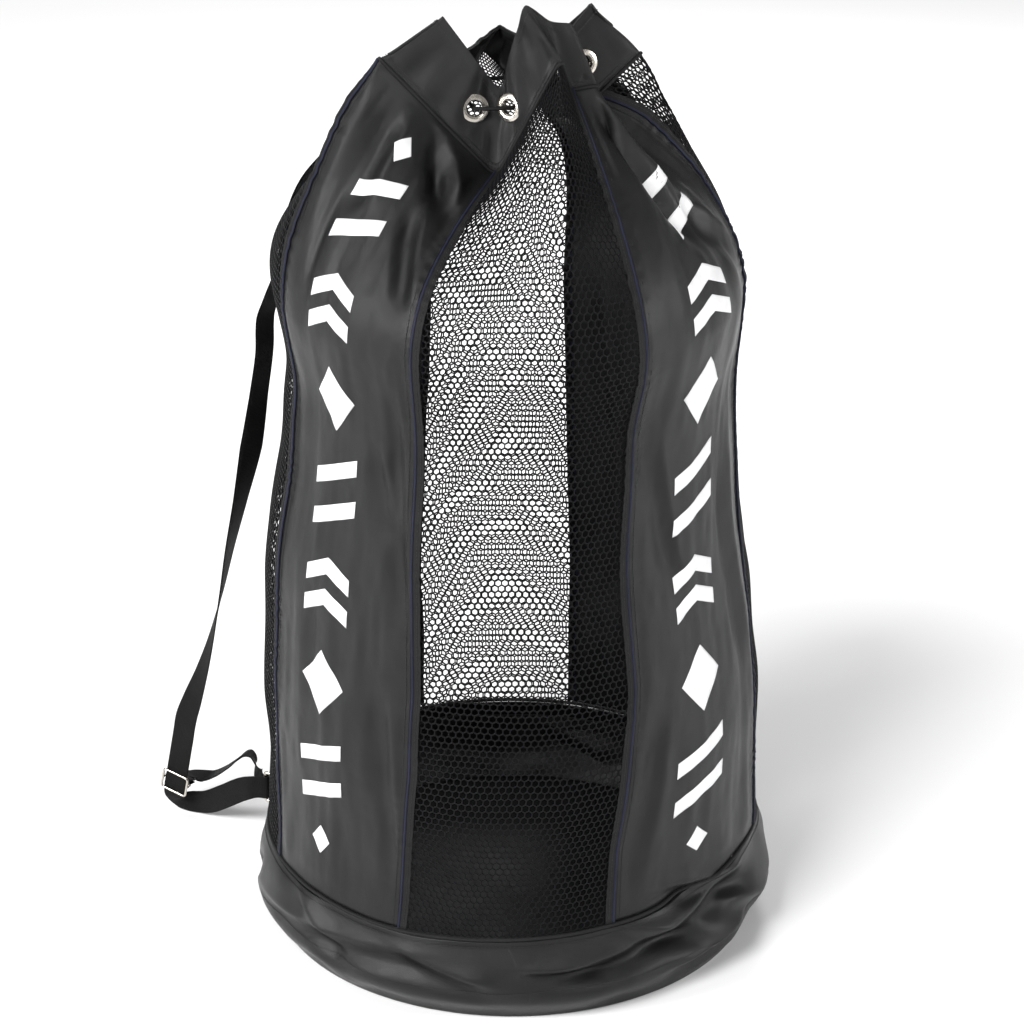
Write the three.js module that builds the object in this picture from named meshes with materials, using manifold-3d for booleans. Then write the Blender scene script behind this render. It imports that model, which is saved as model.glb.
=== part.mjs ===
// Drawstring mesh ball bag, standing filled. Millimetres, +Z up, front mesh window facing -Y.
// The origin is the centre of the base's underside.
//
// Every soft piece is a slab cut from one master surface, between two offsets along its normal.
// On the surface, "angle" is measured round the bag from -Y towards +X, in degrees, and "level"
// runs up it: -1 floor, 0 base seam, 1 collar seam, 2 top edge.

import * as THREE from 'three';
import { mergeVertices } from 'three/addons/utils/BufferGeometryUtils.js';
import Module from 'manifold-3d';

// ---------- driving dimensions ----------

const GAP = 0.35;                        // left between pieces that touch
const FABRIC = 1.6;                      // panels, collar and base band
const NET = 1.2;
const NET_INSET = 0.2;                   // the net lies this far behind the panels' faces
const TAPE = 1.2;
const BACK_OF_CLOTH = -FABRIC - GAP;     // where a piece behind the cloth starts

const SEAM_ANGLES = [27, 73, 114, 160];  // panel edges on the +X side, mirrored on the -X side
const BINDING_HALF_ANGLE = 1.5;

const SEAM_HEIGHT = 90;
const BASE_PANEL_RADIUS = 231;
const BASE_PANEL_THICKNESS = 3;
const BAND_FOOT = 1.2;
const BAND_RADII = [236, 251, 253, 249, 242];    // evenly spaced from the foot to the base seam

const PIPING_DIAMETER = 4;
const SEAM_TAPE_LEVELS = [-0.36, -0.22];

const SHOULDER_LEVEL = 0.7;
const SHOULDER_HEIGHT = 660;
const BODY_RADII = [242, 240, 241, 235, 227, 217, 212, 224];    // evenly spaced up to the shoulder
const SHOULDER_RISE = 80;                // how far the wall keeps rising before it draws in
const NECK_RUN = 0.37;                   // how much of the draw-in lies flat towards the neck

// Ridges and valleys that the drawcord gathers the collar into. Each has the angle of the
// cloth that forms it, then its place on the collar seam and on the top edge: [angle, radius, height].
const FOLDS = [
  { name: 'left_ridge', cloth: -73, seam: [-73, 132, 896], top: [-62, 76, 932] },
  { name: 'front_valley', cloth: -27, seam: [-16, 68, 785], top: [-18, 46, 860] },
  { name: 'front_ridge', cloth: 10, seam: [28, 82, 898], top: [8, 52, 945] },
  { name: 'panel_crease', cloth: 27, seam: [43, 72, 862], top: [33, 58, 925] },
  { name: 'panel_ridge', cloth: 42, seam: [55, 92, 866], top: [50, 68, 922] },
  { name: 'right_valley', cloth: 66, seam: [72, 66, 832], top: [68, 46, 896] },
  { name: 'right_ridge', cloth: 95, seam: [92, 122, 880], top: [86, 74, 930] },
  { name: 'back_valley', cloth: 136, seam: [136, 66, 800], top: [138, 46, 876] },
  { name: 'back_ridge', cloth: 190, seam: [190, 116, 850], top: [185, 70, 886] },
  { name: 'left_valley', cloth: 257, seam: [256, 68, 806], top: [256, 46, 880] },
];
const FOLD_ROUNDING = 3;                 // half the cloth angle that a fold's crest is rounded over

// Each valley that the cord crosses, with the folds on its two sides.
const CORD_VALLEYS = [
  ['left_ridge', 'front_valley', 'front_ridge'],
  ['panel_ridge', 'right_valley', 'right_ridge'],
  ['right_ridge', 'back_valley', 'back_ridge'],
  ['back_ridge', 'left_valley', 'left_ridge'],
];
const EYELET_LEVEL = 1.5;
const EYELET_NEARNESS = 0.26;            // how far from the valley towards the ridge
const EYELET_BORE = 7;
const EYELET_FLANGE = 13;
const CORD_DIAMETER = 4;

const WEBBING_WIDTH = 25;
const WEBBING = 1.4;
const STRAP_ANGLE = -118;
const SWING_RADIUS = 262;                // the upright line that the strap swings about
const SWING_TOP = 570;
const STRAP_LIFT = 4;                    // from the bag's cloth to the middle of the webbing
const RING_HEIGHT = 58;
const RING_DEPTH = 14;
const RING_TALL = 32;
const RING_WIRE = 3.6;
const STRAIGHT_TOP = [104, 118];         // the straight stretch that the slide runs on: [out, height]
const STRAIGHT_END = [122, 27];
const TAB_ON_BAND = [-7.4, -9];          // how far in the ring's tab lies, at its ring end and its sewn end
const TAB_LENGTH = 30;
const SLIDE_TURN = -85;                  // how far the strap is twisted where it passes the slide
const SLIDE_DOWN = 79.5;                 // from the top of the straight stretch to the slide
const SLIDE_LENGTH = 24;
const SLIDE_BAR = 2.4;
const TOP_TURN = 18;                     // the twist where the strap leaves the bag, in degrees
const RETURN_END = [118, -19.8, 37];     // just short of the end that is sewn round the slide

const LOCK_RADIUS = 112;                 // how far out along the back valley the cord lock lies
const LOCK_OUTER = 10;
const LOCK_INNER = 7.9;
const PLUNGER_RADIUS = 7.5;
const CORD_ABOVE_LOCK_FOOT = 15;
const STRAND_SPACING = 4.6;
const LOCK_HEIGHT = 812;
const LOCK_FLOOR = 2;
const LOCK_RIM = 6;                      // heights in the lock are measured from the cord's centre
const LOCK_SIDES = 24;
const PLUNGER_FOOT = -6;
const PLUNGER_TOP = 11.5;
const PRESS_ROOM = 5;                    // how much taller the plunger's slot is than the barrel's
const SPRING_WIRE = 1;
const SPRING_RADIUS = 5.5;
const SPRING_TURNS = 3;
const EYELET_REACH = 6;                  // how far the cord runs straight each side of an eyelet
const CORD_LIFT = 3.5;                   // from the bag's cloth to the middle of a hanging tail
const TAIL_SPREAD = 56;                  // how far the tails part, in degrees for a whole level
const TAIL_LEVELS = [0.74, 0.78, 0.82];
const TAIL_APPROACH = [50, -6];          // the last bend before the lock: [out, height above it]
const TAIL_STRAIGHT = [40, 30, 15, 0, -12, -16];    // distances out along the straight through the lock
const KNOT_RADIUS = 4.5;

// ---------- small helpers ----------

const vec = (x, y, z) => new THREE.Vector3(x, y, z);
const radians = THREE.MathUtils.degToRad;

function polar(angle, radius, height) {
  return vec(radius * Math.sin(radians(angle)), -radius * Math.cos(radians(angle)), height);
}

function spread(from, to, count) {
  return Array.from({ length: count + 1 }, (_, i) => from + (to - from) * i / count);
}

// A closed solid from two matching grids of points. If wraps is true, the columns form a ring.
function slabSolid(outer, inner, wraps) {
  const columns = outer.length;
  const rows = outer[0].length;
  const positions = [...outer.flat(), ...inner.flat()].flatMap((p) => [p.x, p.y, p.z]);
  const at = (side, column, row) => (side * columns + column % columns) * rows + row;
  const triangles = [];
  const quad = (a, b, c, d) => triangles.push(a, b, c, a, c, d);
  const spans = wraps ? columns : columns - 1;
  for (let i = 0; i < spans; i++) {
    for (let j = 0; j < rows - 1; j++) {
      quad(at(0, i, j), at(0, i + 1, j), at(0, i + 1, j + 1), at(0, i, j + 1));
      quad(at(1, i, j), at(1, i, j + 1), at(1, i + 1, j + 1), at(1, i + 1, j));
    }
    quad(at(0, i, 0), at(1, i, 0), at(1, i + 1, 0), at(0, i + 1, 0));
    quad(at(0, i, rows - 1), at(0, i + 1, rows - 1), at(1, i + 1, rows - 1), at(1, i, rows - 1));
  }
  if (!wraps) {
    for (let j = 0; j < rows - 1; j++) {
      quad(at(0, 0, j), at(0, 0, j + 1), at(1, 0, j + 1), at(1, 0, j));
      quad(at(0, spans, j), at(1, spans, j), at(1, spans, j + 1), at(0, spans, j + 1));
    }
  }
  const geometry = new THREE.BufferGeometry();
  geometry.setAttribute('position', new THREE.Float32BufferAttribute(positions, 3));
  geometry.setIndex(triangles);
  return geometry;
}

// ---------- joining and cutting ----------

const wasm = await Module();
wasm.setup();

function toManifold(geometry) {
  const bare = geometry.clone();
  bare.deleteAttribute('normal');
  bare.deleteAttribute('uv');
  const merged = mergeVertices(bare, 1e-4);
  return new wasm.Manifold(new wasm.Mesh({
    numProp: 3,
    vertProperties: new Float32Array(merged.attributes.position.array),
    triVerts: new Uint32Array(merged.index.array),
  }));
}

function fromManifold(solid) {
  const mesh = solid.getMesh();
  const geometry = new THREE.BufferGeometry();
  geometry.setAttribute('position', new THREE.BufferAttribute(mesh.vertProperties, 3));
  geometry.setIndex(new THREE.BufferAttribute(mesh.triVerts, 1));
  return geometry;
}

function cut(geometry, ...tools) {
  const whole = toManifold(geometry);
  return fromManifold(tools.reduce((solid, tool) => solid.subtract(toManifold(tool)), whole));
}

function join(...geometries) {
  return fromManifold(geometries.map(toManifold).reduce((whole, piece) => whole.add(piece)));
}

// ---------- the master surface ----------

const bandCurve = new THREE.SplineCurve(BAND_RADII.map((radius) => new THREE.Vector2(radius, 0)));
const bodyCurve = new THREE.SplineCurve(BODY_RADII.map((radius) => new THREE.Vector2(radius, 0)));

function wallPoint(angle, curve, share, foot, head) {
  const radius = curve.getPoint(THREE.MathUtils.clamp(share, 0, 1)).x;
  return polar(angle, radius, THREE.MathUtils.lerp(foot, head, share));
}

// Where the cloth at this angle crosses the collar seam or the top edge.
function foldLine(edge, cloth) {
  const start = FOLDS[0].cloth;
  const wrapped = THREE.MathUtils.euclideanModulo(cloth - start, 360) + start;
  const after = FOLDS.findIndex((fold) => fold.cloth > wrapped);
  const next = after < 0 ? FOLDS[0] : FOLDS[after];
  const last = after < 0 ? FOLDS[FOLDS.length - 1] : FOLDS[after - 1];
  const span = THREE.MathUtils.euclideanModulo(next.cloth - last.cloth, 360);
  return polar(...last[edge]).lerp(polar(...next[edge]), (wrapped - last.cloth) / span);
}

function roundedFoldLine(edge, cloth) {
  const taps = [-1, -0.5, 0, 0.5, 1].map((share) => foldLine(edge, cloth + share * FOLD_ROUNDING));
  return taps.reduce((sum, tap) => sum.add(tap), vec(0, 0, 0)).divideScalar(taps.length);
}

function surface(angle, level) {
  if (level <= 0) {
    return wallPoint(angle, bandCurve, level + 1, BAND_FOOT, SEAM_HEIGHT);
  }
  if (level <= SHOULDER_LEVEL) {
    return wallPoint(angle, bodyCurve, level / SHOULDER_LEVEL, SEAM_HEIGHT, SHOULDER_HEIGHT);
  }
  const seam = roundedFoldLine('seam', angle);
  if (level > 1) {
    return seam.lerp(roundedFoldLine('top', angle), level - 1);
  }
  const foot = wallPoint(angle, bodyCurve, 1, SEAM_HEIGHT, SHOULDER_HEIGHT);
  const rise = foot.clone().setZ(SHOULDER_HEIGHT + SHOULDER_RISE);
  const neck = seam.clone().lerp(rise, NECK_RUN);
  const wall = new THREE.CubicBezierCurve3(foot, rise, neck, seam);
  return wall.getPoint((level - SHOULDER_LEVEL) / (1 - SHOULDER_LEVEL));
}

const ANGLE_STEP = 0.6;                  // how far each side of a place its normal is measured from
const LEVEL_STEP = 0.015;
const CLEAR_OF_SEAM = 0.02;              // normals aren't measured across the collar seam

function surfaceNormal(angle, level) {
  const edge = level > 1 ? Math.max(level, 1 + CLEAR_OF_SEAM) : Math.min(level, 1 - CLEAR_OF_SEAM);
  const across = surface(angle + ANGLE_STEP, edge).sub(surface(angle - ANGLE_STEP, edge));
  const up = surface(angle, edge + LEVEL_STEP).sub(surface(angle, edge - LEVEL_STEP));
  return across.cross(up).normalize();
}

function offsetPoint(angle, level, offset) {
  return surface(angle, level).addScaledVector(surfaceNormal(angle, level), offset);
}

function slab(angles, levels, outerOffset, innerOffset, wraps = false) {
  const grid = (offset) => angles.map((angle) => levels.map((level) => offsetPoint(angle, level, offset)));
  return slabSolid(grid(outerOffset), grid(innerOffset), wraps);
}

// ---------- materials and meshes ----------

const finish = {
  fabric: { color: 0x343436, roughness: 0.62, metalness: 0 },
  net: { color: 0x141419, roughness: 0.75, metalness: 0 },
  binding: { color: 0x0f142d, roughness: 0.7, metalness: 0 },
  tape: { color: 0x18181a, roughness: 0.8, metalness: 0 },
  cord: { color: 0x101010, roughness: 0.85, metalness: 0 },
  webbing: { color: 0x0c0c0c, roughness: 0.8, metalness: 0 },
  plastic: { color: 0x151516, roughness: 0.45, metalness: 0 },
  nickel: { color: 0xc8beaf, roughness: 0.25, metalness: 1 },
};

const group = new THREE.Group();

function addMesh(name, geometry, look, parent = group) {
  const mesh = new THREE.Mesh(geometry, new THREE.MeshStandardMaterial({ ...finish[look] }));
  mesh.name = name;
  parent.add(mesh);
  return mesh;
}

// ---------- base ----------

const ringAngles = spread(0, 360, 32).slice(0, -1);
const PIPING_ROOM = PIPING_DIAMETER / 2 + GAP + 0.3;
const bandTop = -PIPING_ROOM / (SEAM_HEIGHT - BAND_FOOT);
const bodyFoot = PIPING_ROOM / (SHOULDER_HEIGHT - SEAM_HEIGHT) * SHOULDER_LEVEL;

function addBase() {
  const base = new THREE.CylinderGeometry(BASE_PANEL_RADIUS, BASE_PANEL_RADIUS, BASE_PANEL_THICKNESS, 40);
  base.rotateX(Math.PI / 2);
  addMesh('base_panel', base, 'fabric').position.z = BASE_PANEL_THICKNESS / 2;

  addMesh('base_band', slab(ringAngles, spread(-1, bandTop, 5), 0, -FABRIC, true), 'fabric');

  const seamRing = new THREE.TorusGeometry(BODY_RADII[0], PIPING_DIAMETER / 2, 6, 32);
  addMesh('base_piping', seamRing, 'tape').position.z = SEAM_HEIGHT;

  const tape = slab(ringAngles, SEAM_TAPE_LEVELS, BACK_OF_CLOTH, BACK_OF_CLOTH - TAPE, true);
  addMesh('base_seam_tape', tape, 'tape');
}

// ---------- panels, mesh windows and the bindings between them ----------

const NEAR_SEAM = 0.1;                   // degrees that a panel or window stops short of its seam
const BODY_TOP = 0.996;                  // just short of the collar seam
const bodyLevels = [...spread(bodyFoot, SHOULDER_LEVEL, 6), ...spread(SHOULDER_LEVEL, BODY_TOP, 6).slice(1)];

function clothAngles(from, to, count) {
  const edge = BINDING_HALF_ANGLE;
  return [from + NEAR_SEAM, ...spread(from + edge, to - edge, count), to - NEAR_SEAM];
}

function addBinding(name, angle) {
  const strip = spread(angle - BINDING_HALF_ANGLE, angle + BINDING_HALF_ANGLE, 2);
  addMesh(name, slab(strip, bodyLevels, GAP + TAPE, GAP), 'binding');
}

function addWall() {
  const [front, side, rearSide, back] = SEAM_ANGLES;
  const panels = [
    ['panel_front_right', front, side],
    ['panel_back_right', rearSide, back],
    ['panel_back_left', -back, -rearSide],
    ['panel_front_left', -side, -front],
  ];
  const windows = [
    ['mesh_front', -front, front],
    ['mesh_right', side, rearSide],
    ['mesh_back', back, 360 - back],
    ['mesh_left', -rearSide, -side],
  ];
  for (const [name, from, to] of panels) {
    addMesh(name, slab(clothAngles(from, to, 5), bodyLevels, 0, -FABRIC), 'fabric');
  }
  for (const [name, from, to] of windows) {
    addMesh(name, slab(clothAngles(from, to, 5), bodyLevels, -NET_INSET, -NET_INSET - NET), 'net');
  }
  SEAM_ANGLES.forEach((angle, i) => {
    addBinding(`binding_right_${i + 1}`, angle);
    addBinding(`binding_left_${i + 1}`, -angle);
  });
}

// ---------- collar and its eyelets ----------

const foldNamed = (name) => FOLDS.find((fold) => fold.name === name);

function nearestTurn(angle, reference) {
  return angle + 360 * Math.round((reference - angle) / 360);
}

function eyeletAngles() {
  return CORD_VALLEYS.flatMap(([before, valley, after]) => {
    const middle = foldNamed(valley).cloth;
    return [before, after].map((side) => {
      const ridge = nearestTurn(foldNamed(side).cloth, middle);
      return middle + (ridge - middle) * EYELET_NEARNESS;
    });
  });
}

function eyeletFrame(angle) {
  const normal = surfaceNormal(angle, EYELET_LEVEL);
  const place = new THREE.Object3D();
  place.position.copy(surface(angle, EYELET_LEVEL));
  place.quaternion.setFromUnitVectors(vec(0, 1, 0), normal);
  place.updateMatrix();
  return place;
}

const lathe = (profile, steps) => {
  const closed = [...profile, profile[0]];
  return new THREE.LatheGeometry(closed.map(([r, y]) => new THREE.Vector2(r, y)), steps);
};

const WASHER = 1;
const EYELET_TAIL = BACK_OF_CLOTH - WASHER - 0.6;
const BARREL = EYELET_BORE + 1;
const EYELET_SIDES = 14;
const ROOM_REACH = 6;                    // how far each side of the cloth the room is cut clear

function eyeletGeometry() {
  return lathe([
    [EYELET_BORE, EYELET_TAIL], [BARREL, EYELET_TAIL], [BARREL, GAP], [EYELET_FLANGE, GAP],
    [EYELET_FLANGE - 0.6, GAP + 1], [EYELET_BORE + 2, GAP + 1.6], [EYELET_BORE, GAP + 0.8],
  ], EYELET_SIDES);
}

function washerGeometry() {
  const inner = BARREL + GAP;
  const outer = EYELET_FLANGE - 0.5;
  const back = BACK_OF_CLOTH - WASHER;
  return lathe([[inner, back], [outer, back], [outer, BACK_OF_CLOTH], [inner, BACK_OF_CLOTH]], EYELET_SIDES);
}

// The room that an eyelet and its washer take up, with the gap around them.
function eyeletRoom() {
  const wide = EYELET_FLANGE + GAP;
  const narrow = BARREL + GAP;
  return lathe([
    [0, -ROOM_REACH], [wide, -ROOM_REACH], [wide, BACK_OF_CLOTH + GAP], [narrow, BACK_OF_CLOTH + GAP],
    [narrow, 0], [wide, 0], [wide, ROOM_REACH], [0, ROOM_REACH],
  ], EYELET_SIDES);
}

function collarAngles() {
  const wanted = new Set(ringAngles);
  FOLDS.forEach((fold) => wanted.add(THREE.MathUtils.euclideanModulo(fold.cloth, 360)));
  return [...wanted].sort((a, b) => a - b);
}

const collarLevels = [1.005, 1.28, 1.56, 1.85, 2];       // the last two are the hem tape's edges

function addCollar() {
  const angles = collarAngles();
  const frames = eyeletAngles().map(eyeletFrame);
  const band = slab(angles, collarLevels, 0, -FABRIC, true);
  const rooms = frames.map((frame) => eyeletRoom().applyMatrix4(frame.matrix));
  addMesh('collar', cut(band, ...rooms), 'fabric');

  const hemInner = BACK_OF_CLOTH - TAPE;
  addMesh('collar_hem_tape', slab(angles, collarLevels.slice(-2), BACK_OF_CLOTH, hemInner, true), 'tape');

  frames.forEach((frame, i) => {
    for (const [name, geometry] of [['eyelet', eyeletGeometry()], ['eyelet_washer', washerGeometry()]]) {
      const mesh = addMesh(`${name}_${i + 1}`, geometry, 'nickel');
      mesh.position.copy(frame.position);
      mesh.quaternion.copy(frame.quaternion);
    }
  });
}

// ---------- drawcord and cord lock ----------

const lockAngle = foldNamed('back_valley').seam[0];
const outward = polar(lockAngle, 1, 0);
const sideways = vec(0, 0, 1).cross(outward);
const lockCentre = polar(lockAngle, LOCK_RADIUS, LOCK_HEIGHT);

function strandPoint(side, out, height) {
  const across = side * STRAND_SPACING / 2;
  return lockCentre.clone().addScaledVector(outward, out).addScaledVector(sideways, across).setZ(height);
}

// The tail of one strand, from its end on the shoulder, through the lock, towards its eyelet.
function tailPoints(side) {
  const lying = TAIL_LEVELS.map((level) => {
    return offsetPoint(lockAngle + side * TAIL_SPREAD * (1 - level), level, CORD_LIFT);
  });
  const [out, rise] = TAIL_APPROACH;
  const straight = TAIL_STRAIGHT.map((distance) => strandPoint(side, distance, LOCK_HEIGHT));
  return [...lying, strandPoint(side, out, LOCK_HEIGHT + rise), ...straight];
}

function cordPoints() {
  const frames = eyeletAngles().map(eyeletFrame);
  const through = (frame, leaving) => [-1, 1].map((side) => {
    const normal = vec(0, 1, 0).applyQuaternion(frame.quaternion);
    return frame.position.clone().addScaledVector(normal, (leaving ? side : -side) * EYELET_REACH);
  });
  // From the back valley's far eyelet, round the collar, to its near one.
  const order = [5, 6, 7, 0, 1, 2, 3, 4];
  const ring = order.flatMap((index) => through(frames[index], index % 2 === 0));
  return [...tailPoints(1), ...ring, ...tailPoints(-1).reverse()];
}

function roundSection(diameter, sides) {
  const points = spread(0, 2 * Math.PI, sides).slice(0, -1);
  return new THREE.Shape(points.map((turn) => {
    return new THREE.Vector2(Math.cos(turn), Math.sin(turn)).multiplyScalar(diameter / 2);
  }));
}

function tube(points, diameter, sides, steps) {
  const path = new THREE.CatmullRomCurve3(points);
  return new THREE.ExtrudeGeometry(roundSection(diameter, sides), { steps, extrudePath: path });
}

function addCordEnd(name, end, next) {
  const away = end.clone().sub(next).normalize();
  const knot = addMesh(name, new THREE.SphereGeometry(KNOT_RADIUS, 10, 8), 'cord');
  knot.position.copy(end).addScaledVector(away, KNOT_RADIUS + CORD_DIAMETER / 2);
}

function addDrawcord() {
  const points = cordPoints();
  addMesh('drawcord', tube(points, CORD_DIAMETER, 8, 100), 'cord');
  addCordEnd('cord_end_1', points[0], points[1]);
  addCordEnd('cord_end_2', points.at(-1), points.at(-2));
}

function turned(profile) {
  const outline = profile.map(([r, y]) => new THREE.Vector2(r, y));
  return new THREE.LatheGeometry(outline, LOCK_SIDES).rotateX(Math.PI / 2);
}

function slot(low, high, width) {
  const box = new THREE.BoxGeometry(4 * LOCK_OUTER, width, high - low);
  return box.translate(0, 0, (low + high) / 2);
}

function addCordLock() {
  const foot = -CORD_ABOVE_LOCK_FOOT;
  const strands = STRAND_SPACING + CORD_DIAMETER;
  const half = CORD_DIAMETER / 2 + GAP;
  const lock = new THREE.Group();
  lock.position.copy(lockCentre);
  lock.rotation.z = Math.atan2(outward.y, outward.x);
  group.add(lock);

  const floor = foot + LOCK_FLOOR;
  const cup = turned([
    [0, foot], [LOCK_OUTER, foot], [LOCK_OUTER, LOCK_RIM],
    [LOCK_INNER, LOCK_RIM], [LOCK_INNER, floor], [0, floor],
  ]);
  addMesh('cord_lock_body', cut(cup, slot(-half, half, strands + 2 * GAP)), 'plastic', lock);

  const plunger = turned([
    [0, PLUNGER_FOOT], [PLUNGER_RADIUS, PLUNGER_FOOT], [PLUNGER_RADIUS, PLUNGER_TOP], [0, PLUNGER_TOP],
  ]);
  const plungerSlot = slot(-half, half + PRESS_ROOM, strands + 2 * GAP);
  addMesh('cord_lock_plunger', cut(plunger, plungerSlot), 'plastic', lock);

  const low = floor + GAP + SPRING_WIRE / 2;
  const high = PLUNGER_FOOT - GAP - SPRING_WIRE / 2;
  const coil = spread(0, 1, 30).map((share) => {
    const turn = share * SPRING_TURNS * 2 * Math.PI;
    return vec(SPRING_RADIUS * Math.cos(turn), SPRING_RADIUS * Math.sin(turn), low + (high - low) * share);
  });
  addMesh('cord_lock_spring', tube(coil, SPRING_WIRE, 6, 36), 'nickel', lock);
}

// ---------- shoulder strap ----------

// A flat strip along a smooth line. Each station is [place, direction of the width].
function ribbon(stations, width, thickness, steps) {
  const path = new THREE.CatmullRomCurve3(stations.map(([place]) => place));
  const sections = spread(0, 1, steps).map((share) => {
    const position = share * (stations.length - 1);
    const index = Math.min(Math.floor(position), stations.length - 2);
    const along = path.getTangent(share);
    const across = stations[index][1].clone().lerp(stations[index + 1][1], position - index);
    across.addScaledVector(along, -across.dot(along)).normalize();
    const normal = along.clone().cross(across);
    const corner = (side, face) => path.getPoint(share)
      .addScaledVector(across, side * width / 2)
      .addScaledVector(normal, face * thickness / 2);
    return { outer: [corner(-1, 1), corner(1, 1)], inner: [corner(-1, -1), corner(1, -1)] };
  });
  return slabSolid(sections.map((one) => one.outer), sections.map((one) => one.inner), false);
}

const upright = vec(0, 0, 1);
const strapOut = polar(STRAP_ANGLE, 1, 0);
const strapSide = upright.clone().cross(strapOut);
const swingFoot = polar(STRAP_ANGLE, SWING_RADIUS, 0);

// The direction of the webbing's width when the hanging strap is twisted by this many degrees.
function turnedWidth(turn) {
  const [alongSide, alongOut] = [Math.cos(radians(turn)), Math.sin(radians(turn))];
  return strapSide.clone().multiplyScalar(alongSide).addScaledVector(strapOut, alongOut);
}

// A place measured from the swing line: outwards, sideways towards the front, and up.
function strapPoint(out, side, height) {
  return swingFoot.clone().addScaledVector(strapOut, out).addScaledVector(strapSide, side).setZ(height);
}

function upperRun() {
  const sewn = [[0.99, -124], [0.94, -123], [0.89, -121], [0.84, -119.5], [0.79, -118], [0.74, -118]];
  const onBag = sewn.map(([level, angle]) => {
    const across = surface(angle + 1, level).sub(surface(angle - 1, level)).normalize();
    return [offsetPoint(angle, level, STRAP_LIFT), across];
  });
  const free = [[-24, 640], [-10, 604], [-1.5, 582], [0, SWING_TOP + GAP]];
  return [...onBag, ...free.map(([out, height]) => [strapPoint(out, 0, height), turnedWidth(TOP_TURN)])];
}

// From the swing line down through the slide, up to the ring, round it and back to the slide.
function looseRun() {
  const hanging = [
    [0, SWING_TOP - GAP, TOP_TURN], [1, 545, TOP_TURN], [9, 495, 22], [19, 438, 37], [32, 381, 12],
    [46, 324, -3], [59, 265, -18], [74, 206, -38], [86, 168, -55], [95.5, 142, -72],
  ].map(([out, height, turn]) => [strapPoint(out, 0, height), turnedWidth(turn)]);

  const atSlide = turnedWidth(SLIDE_TURN);
  const straight = [0, 0.25, 0.5, 0.75, 0.95].map((share) => {
    const out = THREE.MathUtils.lerp(STRAIGHT_TOP[0], STRAIGHT_END[0], share);
    const height = THREE.MathUtils.lerp(STRAIGHT_TOP[1], STRAIGHT_END[1], share);
    return [strapPoint(out, 0, height), atSlide];
  });

  const edge = upright;
  const flat = strapSide;
  const halfTurned = strapSide.clone().add(upright).normalize();
  const folded = upright.clone().sub(strapOut).normalize();
  const corner = strapSide.clone().sub(strapOut).normalize();
  const bar = RING_DEPTH;
  const wrap = RING_WIRE / 2 + 2.5 * GAP + WEBBING / 2;
  const toRing = [
    [122, -3, 19, atSlide], [117, -8, 14.5, folded], [104, -12, 13.6, edge], [88, -10, 18, edge],
    [65, -3, 33, edge], [44, 3, 48, edge], [bar + 16, 6, RING_HEIGHT - 2, edge],
    [bar + 6, wrap + 1, RING_HEIGHT, edge],
  ];
  const roundRing = spread(90, 270, 4).map((turn) => {
    const [out, side] = [Math.cos(radians(turn)), Math.sin(radians(turn))].map((part) => part * wrap);
    return [bar + out, side, RING_HEIGHT, edge];
  });
  const backToSlide = [
    [bar + 6, -wrap - 1, RING_HEIGHT, edge], [bar + 14, -11, RING_HEIGHT + 7, edge],
    [bar + 22, -15, RING_HEIGHT + 19, halfTurned], [48, -19, 77, flat], [64, -24, 62, flat],
    [84, -31, 44, flat], [100, -34, 34, flat], [112, -30, 34, corner], [117.5, -24, 35.8, atSlide],
    [...RETURN_END, atSlide],
  ];
  const placed = [...toRing, ...roundRing, ...backToSlide].map(([out, side, height, across]) => {
    return [strapPoint(out, side, height), across];
  });
  return [...hanging, ...straight, ...placed];
}

function ringWire(width, height, wire) {
  const rod = (length) => new THREE.CylinderGeometry(wire / 2, wire / 2, length, 8);
  const corner = () => new THREE.SphereGeometry(wire / 2, 8, 6);
  const pieces = [];
  for (const side of [-1, 1]) {
    pieces.push(rod(height).translate(side * width / 2, 0, 0));
    pieces.push(rod(width).rotateZ(Math.PI / 2).translate(0, side * height / 2, 0));
    pieces.push(corner().translate(width / 2, side * height / 2, 0));
    pieces.push(corner().translate(-width / 2, side * height / 2, 0));
  }
  return join(...pieces);
}

function addLowerRing() {
  const ring = ringWire(RING_DEPTH, RING_TALL, RING_WIRE).rotateX(Math.PI / 2);
  const placed = addMesh('strap_ring', ring, 'nickel');
  placed.position.copy(strapPoint(RING_DEPTH / 2, 0, RING_HEIGHT));
  placed.rotation.z = Math.atan2(strapOut.y, strapOut.x);
}

function addRingTab() {
  const wrap = RING_WIRE / 2 + GAP + WEBBING / 2;
  const [near, far] = TAB_ON_BAND;
  const step = WEBBING + GAP;
  const turn = wrap * Math.SQRT1_2;
  const outline = [
    [far, TAB_LENGTH], [near, 12], [-wrap - 0.6, 2], [-turn, -turn], [0, -wrap], [turn, -turn],
    [wrap, 0], [turn, turn], [-0.5, wrap + 0.6], [near + step, 14], [far + step, TAB_LENGTH],
  ];
  const stations = outline.map(([out, side]) => [strapPoint(out, -side, RING_HEIGHT), upright]);
  addMesh('strap_ring_tab', ribbon(stations, WEBBING_WIDTH - 2, WEBBING, 40), 'webbing');
}

// A three-bar slide. The strap lies between the end bars in front and the middle bar behind.
const SEWN_WRAP = 2.7;                   // from the middle bar's centre to the middle of the webbing
const MIDDLE_BAR = -(WEBBING + GAP + SEWN_WRAP);

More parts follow.
